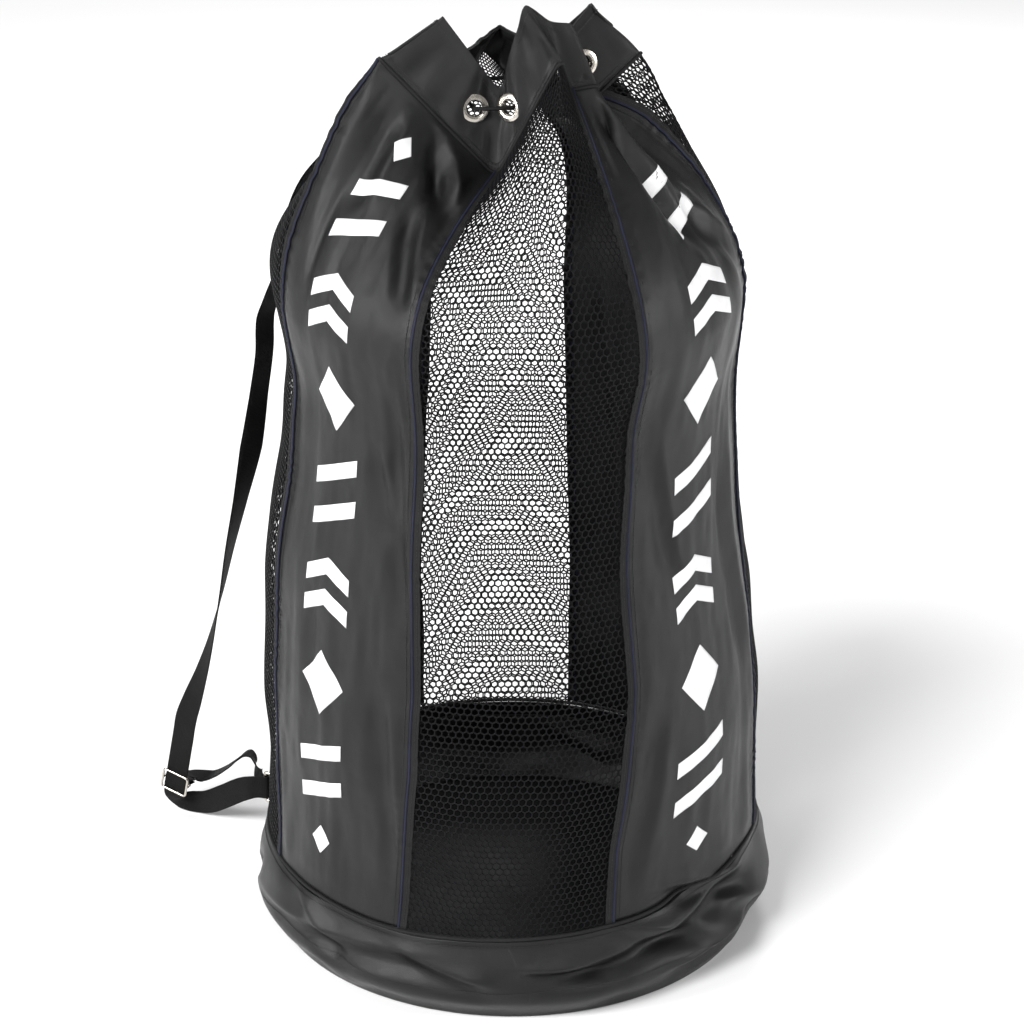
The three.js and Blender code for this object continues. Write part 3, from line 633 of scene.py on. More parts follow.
def sweep(path, across, normal, profile, closed_path=False):
    """Vertices, faces and cloth coordinates of an outline carried along a line."""
    rings = path[:, None] + across[:, None] * profile[None, :, :1] + normal[:, None] * profile[None, :, 1:]
    count, sides = rings.shape[:2]
    rows = np.arange(count + 1) % count if closed_path else np.arange(count)
    index = rows[:, None] * sides + np.arange(sides)
    right = np.roll(index, -1, axis=1)
    quads = np.stack([index[:-1], right[:-1], right[1:], index[1:]], axis=-1).reshape(-1, 4).tolist()
    if not closed_path:
        quads += [list(range(sides))[::-1], list(range((count - 1) * sides, count * sides))]
    girth = line_lengths(np.concatenate([profile, profile[:1]]))[:-1]
    along = line_lengths(path)
    uv = np.stack(np.broadcast_arrays(girth[None, :], along[:, None]), axis=-1)
    return rings.reshape(-1, 3), quads, uv.reshape(-1, 2)


def merged(parts):
    """Several (vertices, faces, uv) as one."""
    vertices, faces, uvs, start = [], [], [], 0
    for points, quads, uv in parts:
        vertices.append(points)
        uvs.append(uv)
        faces.extend([[corner + start for corner in face] for face in quads])
        start += len(points)
    return np.concatenate(vertices), faces, np.concatenate(uvs)


def make_swept(name, parts, look):
    vertices, faces, uv = merged(parts)
    return make(name, vertices, faces, look, uv, closed=True)


def transported_frames(path, closed_path=False):
    """Directions across and normal to a line that turn as little as possible along it."""
    if closed_path:
        tangent = unit(np.roll(path, -1, axis=0) - np.roll(path, 1, axis=0))
    else:
        tangent = unit(np.gradient(path, axis=0))
    across = np.zeros_like(path)
    side = np.cross(tangent[0], [0.3, 0.2, 1.0])
    for number, forward in enumerate(tangent):
        side = side - forward * side.dot(forward)
        side = side / np.linalg.norm(side)
        across[number] = side
    return across, np.cross(tangent, across)


def tube(path, radius, sides=10, closed_path=False):
    across, normal = transported_frames(path, closed_path)
    return sweep(path, across, normal, round_profile(radius, sides), closed_path)


def resampled(points, spacing):
    lengths = line_lengths(points)
    wanted = np.linspace(0, lengths[-1], max(2, round(lengths[-1] / spacing) + 1))
    return np.stack([np.interp(wanted, lengths, points[:, axis]) for axis in range(3)], axis=-1)


def smooth_line(points, steps):
    """The same centripetal Catmull-Rom curve as the CAD source's, at steps + 1 even shares."""
    points = np.asarray(points, float)
    first, last = 2 * points[0] - points[1], 2 * points[-1] - points[-2]
    padded = np.concatenate([[first], points, [last]])
    shares = np.linspace(0, len(points) - 1, steps + 1)
    made = []
    for share in shares:
        index = min(int(share), len(points) - 2)
        t = share - index
        p0, p1, p2, p3 = padded[index : index + 4]
        d0, d1, d2 = (math.sqrt(np.linalg.norm(b - a)) for a, b in ((p0, p1), (p1, p2), (p2, p3)))
        leave = ((p1 - p0) / d0 - (p2 - p0) / (d0 + d1) + (p2 - p1) / d1) * d1
        arrive = ((p2 - p1) / d1 - (p3 - p1) / (d1 + d2) + (p3 - p2) / d2) * d1
        cubic = (2 * p1 - 2 * p2 + leave + arrive) * t**3
        made.append(cubic + (3 * p2 - 3 * p1 - 2 * leave - arrive) * t**2 + leave * t + p1)
    return np.array(made), shares


def lathed(profile, sides):
    """Vertices, faces and uv of an [r, z] outline turned about Z. The outline closes on itself."""
    profile = np.asarray(profile, float)
    turns = np.linspace(0, 2 * math.pi, sides, endpoint=False)
    path = np.zeros((sides, 3))
    across = np.stack([np.cos(turns), np.sin(turns), np.zeros(sides)], axis=-1)
    normal = np.tile([0.0, 0, 1], (sides, 1))
    return sweep(path, across, normal, profile, closed_path=True)


def placed(part, matrix):
    vertices, faces, uv = part
    rotation = np.array(matrix.to_3x3())
    return vertices @ rotation.T + np.array(matrix.translation), faces, uv


# ---------- stitching ----------

STITCH = 0.0026
STITCH_PITCH = 0.0034
THREAD = 0.00032  # radius
# Along each stitch: place from -1 to 1, thickness and drop into the cloth, in thread radii.
STITCH_SHAPE = [(-1, 0.35, 0.8), (-0.7, 0.85, 0.25), (0, 1, 0), (0.7, 0.85, 0.25), (1, 0.35, 0.8)]
STITCH_SIDES = 5


def along_line(where, lengths, values):
    """The values at these distances along a line."""
    return np.stack([np.interp(where, lengths, values[:, axis]) for axis in range(3)], axis=-1)


def stitches(points, normals):
    """A row of raised stitches along a line that lies on the cloth."""
    lengths = line_lengths(points)
    starts = np.arange(STITCH_PITCH / 2, lengths[-1] - STITCH_PITCH, STITCH_PITCH)
    first = along_line(starts, lengths, points)
    last = along_line(starts + STITCH, lengths, points)
    normal = unit(along_line(starts + STITCH / 2, lengths, normals))
    along = (last - first) / 2
    side = unit(np.cross(normal, along))
    centre = (first + last) / 2 + normal * THREAD * 0.55
    vertices = []
    for share, thick, drop in STITCH_SHAPE:
        for turn in np.linspace(0, 2 * math.pi, STITCH_SIDES, endpoint=False):
            bulge = side * math.cos(turn) + normal * math.sin(turn)
            vertices.append(centre + along * share + bulge * THREAD * thick - normal * THREAD * drop)
    one_stitch = grid_faces(len(STITCH_SHAPE), STITCH_SIDES, wrap=True)
    first_corners = np.arange(len(starts))[:, None, None] * len(vertices)
    faces = (one_stitch + first_corners).reshape(-1, 4).tolist()
    vertices = np.stack(vertices, axis=1).reshape(-1, 3)
    return vertices, faces, np.zeros((len(vertices), 2))


def closed_stitches(line, normals):
    """A row of stitches right round a closed line."""
    return stitches(np.concatenate([line, line[:1]]), np.concatenate([normals, normals[:1]]))


def stitch_on_cloth(angle, side_offset):
    """Stitches up the wall, beside the seam at this angle."""
    angles = np.full(len(WALL_LEVELS), float(angle))
    points, across, normal = cloth_frame(angles, WALL_LEVELS, STITCH_LIFT)
    return stitches(points + across * side_offset, normal)


# ---------- base ----------

ROUND = np.linspace(0, 360, 720, endpoint=False)
SEAM_BEAD = 0.0019  # radius of the piping in the base seam and of the welt under the collar
BASE_RADIUS = 0.2315
BASE_RIM_FROM = 0.21


def add_base():
    levels = np.linspace(-1, -0.028, 56)
    band = cloth_sheet("base_band_cloth", ROUND, levels, 0, 0.0016, "fabric", wrap=True)
    ride(band, "root", "base_band")

    seam = tube(cloth(ROUND, 0), SEAM_BEAD, 10, True)
    ride(make_swept("base_seam_piping", [seam], "tape"), "root", "base_piping")

    rows = []
    for level in (-0.085, -0.62):
        line, _, outward = cloth_frame(ROUND, level, 0.0002)
        rows.append(closed_stitches(line, outward))
    ride(make_swept("base_stitching", rows, "thread"), "root")

    levels = np.linspace(-0.36, -0.22, 6)
    tape = cloth_sheet("base_inner_tape", ROUND, levels, INNER_TAPE_OFFSET, TAPE_THICK, "tape", True)
    ride(tape, "root", "base_seam_tape")

    turns, rings = np.meshgrid(ROUND[::4], np.linspace(0, BASE_RADIUS, 40))
    flat = polar(turns, rings, 0)
    x, y = flat[..., 0], flat[..., 1]
    sag = lattice_noise(x / 0.05 + 20, y / 0.05 + 20, 8) * 0.0006 * np.clip(rings / 0.02, 0, 1)
    height = 0.0032 + sag - 0.0012 * np.clip((rings - BASE_RIM_FROM) / 0.02, 0, 1)
    points = np.stack([x, y, height], axis=-1)
    faces = grid_faces(*turns.shape, True)
    panel = make("base_panel_cloth", points, faces, "lining", flat[..., :2])
    ride(apply_modifiers(thicken(panel, 0.002)), "root", "base_panel")


# ---------- panels, mesh windows and bindings ----------

PANELS = {
    "panel_front_right": (27, 73), "panel_back_right": (114, 160),
    "panel_back_left": (-160, -114), "panel_front_left": (-73, -27),
}
WINDOWS = {
    "mesh_front": (-27, 27), "mesh_right": (73, 114), "mesh_back": (160, 200), "mesh_left": (-114, -73),
}
PANEL_INSET = 0.15
TAPE_SHIFT = 0.0045


def add_panels():
    for name, (start, end) in PANELS.items():
        angles = np.linspace(start + PANEL_INSET, end - PANEL_INSET, 72)
        panel = cloth_sheet(name + "_cloth", angles, WALL_LEVELS, 0, 0.0011, "fabric")
        ride(panel, "root", name)
        rows = [stitch_on_cloth(start, TOPSTITCH_IN), stitch_on_cloth(end, -TOPSTITCH_IN)]
        ride(make_swept(name + "_stitching", rows, "thread"), "root")


HEX_PITCH = 0.0070
HEX_SIDE = HEX_PITCH / math.sqrt(3)
NET_WIDTH = 0.00125
NET_THICK = 0.0009
NET_OFFSET = -0.0009


def net_levels(angle):
    """Levels of a net's half rows, evenly spaced up the cloth at this angle, that just fill the wall."""
    fine = np.linspace(WALL_FOOT, WALL_TOP, 3000)
    lengths = line_lengths(surface(np.full(len(fine), float(angle)), fine))
    rows = round(lengths[-1] / (1.5 * HEX_SIDE))
    return np.interp(np.linspace(0, lengths[-1], 3 * rows + 2), lengths, fine), rows


def net_nodes(start, end):
    """The knots of hexagonal netting, as [row, column] arrays of angle, level and which way they point."""
    cells = round((end - start) * CLOTH_PITCH / HEX_PITCH)
    columns = 2 * cells + 1
    half_rows, rows = net_levels((start + end) / 2)
    column, row = np.meshgrid(np.arange(-1, columns + 1), np.arange(-1, rows + 2))
    upper = (column + row) % 2 == 1
    step = row * 3.0 + np.where(upper, 1.0, 0.0)
    level = np.interp(step, np.arange(len(half_rows)), half_rows)
    level += np.minimum(step, 0) * (half_rows[1] - half_rows[0])
    angle = start + (end - start) * column / (columns - 1)
    drift = lattice_noise(column / 9 + 7, row / 9 + 7, 9) * 0.16 + rng.uniform(-1, 1, angle.shape) * 0.03
    inside = (column > 0) & (column < columns - 1)
    angle = angle + np.where(inside, drift, 0) * (end - start) / cells
    return angle, level, upper


def add_net(name, start, end):
    angle, level, upper = net_nodes(start, end)
    points = cloth(angle, level, NET_OFFSET)
    normal = surface_normal(angle + lean(angle, level), level)

    def shifted(values, rows, columns):
        return np.roll(values, (-rows, -columns), axis=(0, 1))

    right, left = unit(shifted(points, 0, 1) - points), unit(shifted(points, 0, -1) - points)
    above, below = unit(shifted(points, 1, 0) - points), unit(shifted(points, -1, 0) - points)
    upright = np.where(upper[..., None], above, below)

    def corner(first, second):
        middle = unit(first + second)
        half_sine = np.sqrt(np.clip((1 - (first * second).sum(-1, keepdims=True)) / 2, 0.1, 1))
        return points + middle * NET_WIDTH / 2 / half_sine

    # Corners between the three threads that meet at a knot, counter-clockwise from outside.
    upper_corners = [corner(right, upright), corner(upright, left), corner(left, right)]
    lower_corners = [corner(right, left), corner(left, upright), corner(upright, right)]
    corners = np.where(upper[..., None, None], np.stack(upper_corners, 2), np.stack(lower_corners, 2))
    corners = corners[1:-1, 1:-1]
    upper, normal = upper[1:-1, 1:-1], normal[1:-1, 1:-1, None]
    vertices = np.stack([corners + normal * NET_THICK / 2, corners - normal * NET_THICK / 2], axis=2)
    rows, columns = upper.shape
    index = np.arange(rows * columns * 6).reshape(rows, columns, 2, 3)

    def strands(a_right, b_right, b_left, a_left):
        """The four faces of each thread between knots a and b; each argument is [..., front/back]."""
        front = np.stack([a_right[..., 0], b_right[..., 0], b_left[..., 0], a_left[..., 0]], -1)
        back = np.stack([a_right[..., 1], a_left[..., 1], b_left[..., 1], b_right[..., 1]], -1)
        left_side = np.stack([a_left[..., 0], b_left[..., 0], b_left[..., 1], a_left[..., 1]], -1)
        right_side = np.stack([a_right[..., 0], a_right[..., 1], b_right[..., 1], b_right[..., 0]], -1)
        return np.concatenate([face.reshape(-1, 4) for face in (front, back, left_side, right_side)])

    flat_up = upper[:, :-1][..., None]
    a, b = index[:, :-1], index[:, 1:]
    b_left = np.where(flat_up, b[..., 0], b[..., 1])
    b_right = np.where(flat_up, b[..., 1], b[..., 2])
    quads = [strands(a[..., 2], b_right, b_left, a[..., 0])]
    rising = upper[:-1]
    a, b = index[:-1][rising], index[1:][rising]
    quads.append(strands(a[..., 0], b[..., 2], b[..., 1], a[..., 1]))
    hubs = np.concatenate([index[:, :, 0].reshape(-1, 3), index[:, :, 1, ::-1].reshape(-1, 3)])
    faces = np.concatenate(quads).tolist() + hubs.tolist()
    ride(make(name + "_netting", vertices, faces, "net"), "root", name)


def add_binding(seam, number, side, sign):
    """A seam's navy piped bead, with a flat black tape sewn down on the mesh side of it."""
    angles = np.full(len(WALL_LEVELS), float(sign * seam))
    points, across, normal = cloth_frame(angles, WALL_LEVELS, 0.0006)
    bead = sweep(points, across, normal, round_profile(0.0014, 10))
    piping = make_swept(f"seam_piping_{side}_{number}", [bead], "binding")
    ride(piping, "root", f"binding_{side}_{number}")
    mesh_side = -1 if number % 2 else 1
    shift = across * mesh_side * sign * TAPE_SHIFT
    strip = sweep(points + shift, across, normal, flat_profile(0.0075, 0.0009))
    row = stitches(points + shift * 1.1 + normal * 0.0005, normal)
    ride(make_swept(f"seam_tape_{side}_{number}", [strip], "tape"), "root")
    ride(make_swept(f"seam_tape_stitching_{side}_{number}", [row], "thread"), "root")


def add_bindings():
    for number, seam in enumerate(SEAM_ANGLES, 1):
        add_binding(seam, number, "right", 1)
        add_binding(seam, number, "left", -1)


# ---------- collar, eyelets ----------


COLLAR_ROUND = np.linspace(0, 360, 1080, endpoint=False)
COLLAR_LEVELS = np.linspace(1.0004, 2, 48)
HEM_ROWS = 8
EYELET_HOLE = 0.0095


def eyelet_angles():
    found = []
    for before, middle, after in EYELET_ANGLES_FROM:
        found += [middle + (side - middle) * EYELET_NEARNESS for side in (before, after)]
    return np.array(found)


def collar_points():
    """The collar's cloth with its soft waves, and the direction outwards at each point."""
    grid_angles, grid_levels = np.meshgrid(COLLAR_ROUND, COLLAR_LEVELS)
    soft = lattice_noise(np.mod(grid_angles, 360) / 360 * 64, grid_levels * 1.6, 11) * 0.0026
    soft *= np.clip((2.1 - grid_levels) * 4, 0, 1) * np.clip((grid_levels - 1) * 6, 0, 1)
    outward = surface_normal(grid_angles, grid_levels)
    return surface(grid_angles, grid_levels) + outward * soft[..., None], outward


def add_collar():
    points, outward = collar_points()
    faces = grid_faces(*points.shape[:2], True)
    centres = points.reshape(-1, 3)[faces].mean(axis=1)
    keep = np.ones(len(faces), bool)
    for place in surface(eyelet_angles(), EYELET_LEVEL):
        keep &= np.linalg.norm(centres - place, axis=1) > EYELET_HOLE
    collar = make("collar_cloth", points, faces[keep], "fabric", cloth_uv(points, COLLAR_ROUND))
    ride(apply_modifiers(thicken(collar, 0.0016)), "root", "collar")
    height = float(np.mean([line_lengths(column)[-1] for column in points.transpose(1, 0, 2)[::9]]))

    hem_points = points[-HEM_ROWS:] + outward[-HEM_ROWS:] * INNER_TAPE_OFFSET
    hem_faces = grid_faces(HEM_ROWS, len(COLLAR_ROUND), True)
    hem = make("collar_hem", hem_points, hem_faces, "tape", cloth_uv(hem_points, COLLAR_ROUND))
    ride(apply_modifiers(thicken(hem, TAPE_THICK)), "root", "collar_hem_tape")

    rows = []
    for level in (1.045, 1.10, 1.88):
        normal = surface_normal(COLLAR_ROUND, level)
        rows.append(closed_stitches(surface(COLLAR_ROUND, level) + normal * 0.0003, normal))
    ride(make_swept("collar_stitching", rows, "thread"), "root")

    welt = tube(surface(COLLAR_ROUND, 1.0), SEAM_BEAD, 8, True)
    ride(make_swept("collar_seam_welt", [welt], "tape"), "root")


def eyelet_matrix(angle):
    place = Vector(surface(angle, EYELET_LEVEL))
    normal = Vector(surface_normal(angle, EYELET_LEVEL))
    turn = Vector((0, 0, 1)).rotation_difference(normal).to_matrix().to_4x4()
    return Matrix.Translation(place) @ turn


def arc(centre, radius, start, end, steps):
    turns = np.radians(np.linspace(start, end, steps))
    return [(centre[0] + radius * math.cos(turn), centre[1] + radius * math.sin(turn)) for turn in turns]


def add_eyelets():
    """Rolled brass eyelets, nickel plated: a domed flange that rolls into the bore, and a washer."""
    bore, flange, top = EYELET_BORE, EYELET_FLANGE, 0.0020
    outline = [(bore, -0.0036), (bore + 0.0008, -0.0036), (bore + 0.0008, 0.0004), (flange - 0.0006, 0.0004)]
    outline += arc((flange - 0.0006, 0.0008), 0.0005, -80, 80, 6)
    outline += [(flange - 0.0016, 0.0015), (flange - 0.0030, top), (bore + 0.0022, top)]
    outline += arc((bore + 0.0016, top - 0.0016), 0.0016, 70, 180, 8)
    washer = [
        (bore + 0.0012, -0.0029), (flange - 0.001, -0.0029), (flange - 0.0005, -0.0024),
        (flange - 0.0005, -0.0020), (bore + 0.0012, -0.0020),
    ]
    for number, angle in enumerate(eyelet_angles(), 1):
        matrix = eyelet_matrix(angle)
        front, back = placed(lathed(outline, 64), matrix), placed(lathed(washer, 64), matrix)
        ride(make_swept(f"rolled_eyelet_{number}", [front], "nickel"), "root", f"eyelet_{number}")
        ride(make_swept(f"eyelet_back_{number}", [back], "nickel"), "root", f"eyelet_washer_{number}")


# ---------- drawcord and cord lock ----------

BRAID_SIDES = 16
BRAID_LAY = 0.0075
AXIS = 0.00001  # radius of the tiny flat at the middle of a turned end


def lock_axes():
    """The lock's directions outwards and sideways, and its centre."""
    outward = polar(LOCK_ANGLE, 1.0, 0.0)
    return outward, np.cross([0, 0, 1], outward), polar(LOCK_ANGLE, LOCK_RADIUS, LOCK_HEIGHT)


def strand_point(side, out, height):
    outward, sideways, centre = lock_axes()
    point = centre + outward * out + sideways * side * STRAND_SPACING / 2
    return np.array([point[0], point[1], height])


def tail_points(side):
    """One tail, up the outside of the wall and back through the lock."""
    points = []
    for level in (0.74, 0.78, 0.82):
        angle = LOCK_ANGLE + side * TAIL_SPREAD * (1 - level)
        points.append(surface(angle, level) + surface_normal(angle, level) * CORD_LIFT)
    points.append(strand_point(side, 0.050, LOCK_HEIGHT - 0.006))
    return points + [strand_point(side, out, LOCK_HEIGHT) for out in (0.040, 0.030, 0.015, 0, -0.012, -0.016)]


def cord_points():
    """The drawcord's points: a tail, in and out through the eyelets, and the other tail."""
    ring = []
    for index, angle in enumerate(np.roll(eyelet_angles(), -FIRST_EYELET), FIRST_EYELET):
        place, normal = surface(angle, EYELET_LEVEL), surface_normal(angle, EYELET_LEVEL)
        inwards = 1 if index % 2 else -1
        ring += [place + normal * EYELET_REACH * inwards, place - normal * EYELET_REACH * inwards]
    return np.array(tail_points(1) + ring + tail_points(-1)[::-1])


def braided(path, radius):
    """A braided cord: eight plaited ridges that cross round it."""
    across, normal = transported_frames(path)
    plain, faces, uv = sweep(path, across, normal, round_profile(radius, BRAID_SIDES))
    turns = np.linspace(0, 2 * math.pi, BRAID_SIDES, endpoint=False)
    lay = line_lengths(path)[:, None] / BRAID_LAY * 2 * math.pi
    plait = np.maximum(np.cos(4 * turns + lay), np.cos(4 * turns - lay))
    centres = path[:, None]
    rings = centres + (plain.reshape(len(path), BRAID_SIDES, 3) - centres) * (0.94 + 0.07 * plait)[..., None]
    return rings.reshape(-1, 3), faces, uv


def knot(name, end, away):
    """An overhand knot pulled tight, as a closed trefoil of the cord."""
    turns = np.linspace(0, 2 * math.pi, 60, endpoint=False)
    size = KNOT_RADIUS * 0.36
    x = size * (np.sin(turns) + 2 * np.sin(2 * turns)) * 0.62
    y = size * (np.cos(turns) - 2 * np.cos(2 * turns)) * 0.62
    z = -size * np.sin(3 * turns) * 1.2
    turn = Vector((0, 0, 1)).rotation_difference(Vector(away)).to_matrix()
    loop = np.stack([x, y, z], axis=-1) @ np.array(turn).T + end + away * (KNOT_RADIUS + CORD_DIAMETER / 2)
    return make_swept(name, [tube(loop, CORD_DIAMETER * 0.42, 10, True)], "cord")


def add_drawcord():
    line, _ = smooth_line(cord_points(), 1400)
    path = resampled(line, 0.0008)
    vertices, faces, uv = braided(path, CORD_DIAMETER / 2)
    cord = make("drawcord_braid", vertices, faces, "cord", uv, closed=True)
    ride(cord, "root", "drawcord")
    knots = [
        knot("drawcord_knot_1", path[0], unit(path[0] - path[4])),
        knot("drawcord_knot_2", path[-1], unit(path[-1] - path[-5])),
    ]
    for number, piece in enumerate(knots, 1):
        ride(piece, "root", f"cord_end_{number}")


def slotted(part, name, matrix, low, high, width):
    """A turned piece with a slot through it for the two strands."""
    obj = make_swept(name, [part], "plastic")
    bpy.ops.mesh.primitive_cube_add(size=1)
    cutter = bpy.context.object
    cutter.scale = (0.05, width, high - low)
    cutter.location = (0, 0, (low + high) / 2)
    bpy.context.view_layer.update()
    modifier = obj.modifiers.new("slot", "BOOLEAN")
    modifier.operation = "DIFFERENCE"
    modifier.object = cutter
    modifier.solver = "EXACT"
    apply_modifiers(obj)
    bpy.data.objects.remove(cutter)
    obj.data.transform(matrix)
    edge = obj.modifiers.new("soft_edges", "BEVEL")
    edge.width = 0.0003
    edge.segments = 2
    edge.limit_method = "ANGLE"
    return apply_modifiers(obj)


def add_cord_lock():
    outward, _, centre = lock_axes()
    matrix = Matrix.Translation(Vector(centre)) @ Matrix.Rotation(math.atan2(outward[1], outward[0]), 4, "Z")
    foot, rim, outer, inner = -0.015, 0.006, 0.010, 0.0079
    width, half = STRAND_SPACING + CORD_DIAMETER + 2 * GAP, CORD_DIAMETER / 2 + GAP
    well, stem_foot = foot + 0.002, -0.006
    cup = [(AXIS, foot)] + arc((outer - 0.0015, foot + 0.0015), 0.0015, -90, 0, 6)
    cup += [(outer, rim - 0.0006), (outer - 0.0006, rim), (inner, rim), (inner, well), (AXIS, well)]
    body = slotted(lathed(cup, 64), "cord_lock_barrel", matrix, -half, half, width)
    ride(body, "cord_lock", "cord_lock_body")

    reach, top, soft = 0.0075, 0.0115, 0.0018
    stem = [(AXIS, stem_foot), (reach, stem_foot), (reach, top - soft)]
    stem += arc((reach - soft, top - soft), soft, 0, 80, 6) + [(AXIS, top + 0.0001)]
    button = slotted(lathed(stem, 64), "cord_lock_button", matrix, -half, half + 0.005, width)
    ride(button, "plunger", "cord_lock_plunger")

    coil_radius, coil_wire, coil_turns = 0.0055, 0.0005, 3
    low, high = well + GAP + coil_wire, stem_foot - GAP - coil_wire
    share = np.linspace(0, 1, 160)
    turn = share * coil_turns * 2 * math.pi
    rise = low + (high - low) * share
    coil = np.stack([coil_radius * np.cos(turn), coil_radius * np.sin(turn), rise], axis=-1)
    spring = make_swept("cord_lock_coil", [placed(tube(coil, coil_wire, 8), matrix)], "nickel")
    ride(spring, "cord_lock", "cord_lock_spring")
    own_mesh(spring)


# ---------- shoulder strap ----------

STRAP_OUT = polar(STRAP_ANGLE, 1.0, 0.0)
UPRIGHT = np.array([0.0, 0.0, 1.0])
STRAP_SIDE = np.cross(UPRIGHT, STRAP_OUT)
SWING_FOOT = polar(STRAP_ANGLE, SWING_RADIUS, 0.0)
STRAIGHT_TOP = np.array([0.104, 0, 0.118])
STRAIGHT_END = np.array([0.122, 0, 0.027])
SLIDE_TURN = -85
SLIDE_DOWN = 0.0795
SLIDE_WIRE = 0.0024
SLIDE_LENGTH = 0.024
SLIDE_BAR = -(WEBBING + GAP + 0.0027)
TAB_WIDTH = WEBBING_WIDTH - 0.002
TOP_TURN = 18


def strap_point(out, side, height):
    """A place measured from the swing line: outwards, sideways towards the front, and up."""
    return SWING_FOOT + STRAP_OUT * out + STRAP_SIDE * side + UPRIGHT * height


def turned_width(turn):
    return STRAP_SIDE * math.cos(math.radians(turn)) + STRAP_OUT * math.sin(math.radians(turn))


def ribbon(stations, width, thickness, steps):
    """A flat strip of webbing through stations of (place, direction of its width)."""
    path, shares = smooth_line([place for place, _ in stations], steps)
    widths = np.array([direction for _, direction in stations])
    index = np.minimum(shares.astype(int), len(stations) - 2)
    across = mix(widths[index], widths[index + 1], shares - index)
    tangent = unit(np.gradient(path, axis=0))
    across = unit(across - tangent * (across * tangent).sum(-1, keepdims=True))
    return path, sweep(path, across, np.cross(tangent, across), flat_profile(width, thickness))


def upper_stations():
    """From the collar seam down the outside of the wall to where the strap hangs free."""
    stations = []
    on_wall = [(0.99, -124), (0.94, -123), (0.89, -121), (0.84, -119.5), (0.79, -118), (0.74, -118)]
    for level, angle in on_wall:
        width = unit(cloth(angle + 1, level) - cloth(angle - 1, level))
        stations.append((cloth(angle, level, 0.004), width))
    for out, height in ((-0.024, 0.640), (-0.010, 0.604), (-0.0015, 0.582)):
        stations.append((strap_point(out, 0, height), turned_width(TOP_TURN)))
    return stations


def hanging_stations():
    """The free strap, turning as it hangs, down to the end of the slide's straight stretch."""
    hanging = [
        (0, 0.5697, 18), (0.001, 0.545, 18), (0.009, 0.495, 22), (0.019, 0.438, 37),
        (0.032, 0.381, 12), (0.046, 0.324, -3), (0.059, 0.265, -18), (0.074, 0.206, -38),
        (0.086, 0.168, -55), (0.0955, 0.142, -72),
    ]
    stations = [(strap_point(out, 0, height), turned_width(turn)) for out, height, turn in hanging]
    for share in (0, 0.25, 0.5, 0.75, 0.95):
        out, side, height = mix(STRAIGHT_TOP, STRAIGHT_END, share)
        stations.append((strap_point(out, side, height), turned_width(SLIDE_TURN)))
    return stations


def floor_stations():
    """From the slide down to the floor, up to the ring, round its bar and back up over the hump."""
    edge, flat, at_slide = UPRIGHT, STRAP_SIDE, turned_width(SLIDE_TURN)
    half_turned = unit(STRAP_SIDE + UPRIGHT)
    folded, corner = unit(UPRIGHT - STRAP_OUT), unit(STRAP_SIDE - STRAP_OUT)
    bar, high = RING_DEPTH, RING_HEIGHT
    wrap = RING_WIRE / 2 + 2.5 * GAP + WEBBING / 2
    to_ring = [
        (0.122, -0.003, 0.019, at_slide), (0.117, -0.008, 0.0145, folded),
        (0.104, -0.012, 0.0136, edge), (0.088, -0.010, 0.018, edge),
        (0.065, -0.003, 0.033, edge), (0.044, 0.003, 0.048, edge),
        (bar + 0.016, 0.006, high - 0.002, edge), (bar + 0.006, wrap + 0.001, high, edge),
    ]
    turns = np.radians(np.linspace(90, 270, 5))
    round_ring = [(bar + wrap * math.cos(turn), wrap * math.sin(turn), high, edge) for turn in turns]
    back = [
        (bar + 0.006, -wrap - 0.001, high, edge), (bar + 0.014, -0.011, high + 0.007, edge),
        (bar + 0.022, -0.015, high + 0.019, half_turned), (0.048, -0.019, 0.077, flat),
        (0.064, -0.024, 0.062, flat), (0.084, -0.031, 0.044, flat),
        (0.100, -0.034, 0.034, flat), (0.112, -0.030, 0.034, corner),
        (0.1175, -0.024, 0.0358, at_slide), (0.118, -0.0198, 0.037, at_slide),
    ]
    whole = to_ring + round_ring + back
    return [(strap_point(out, side, height), across) for out, side, height, across in whole]


def axes_matrix(across, up, place):
    """A frame with X across, Y up and its origin at place."""
    matrix = Matrix(np.array([across, up, np.cross(across, up)]).T.tolist()).to_4x4()
    matrix.translation = Vector(place)
    return matrix


def slide_matrix():
    """The slide's own frame: Y up along the strap's straight stretch and Z off its face."""
    top, end = strap_point(*STRAIGHT_TOP), strap_point(*STRAIGHT_END)
    up = unit(top - end)
    width = turned_width(SLIDE_TURN)
    across = unit(width - up * width.dot(up))
    return axes_matrix(across, up, top - up * SLIDE_DOWN)


def loop_line(width, height, corner, steps=6):
    """A rounded rectangle in the XY plane, as a closed line."""
    points = []
    for x, y, start in ((1, 1, 0), (-1, 1, 90), (-1, -1, 180), (1, -1, 270)):
        centre = (x * (width / 2 - corner), y * (height / 2 - corner))
        points += [(px, py, 0) for px, py in arc(centre, corner, start, start + 90, steps)]
    return np.array(points)


def add_webbing():
    """The whole strap as one strip, which turns away from the wall where it leaves the bag's side."""
    stations = upper_stations() + hanging_stations() + floor_stations()
    path, strip = ribbon(stations, WEBBING_WIDTH, WEBBING, 1100)
    strap = make_swept("shoulder_webbing", [strip], "webbing")
    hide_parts("strap_upper_run", "shoulder_strap")
    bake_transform(strap)


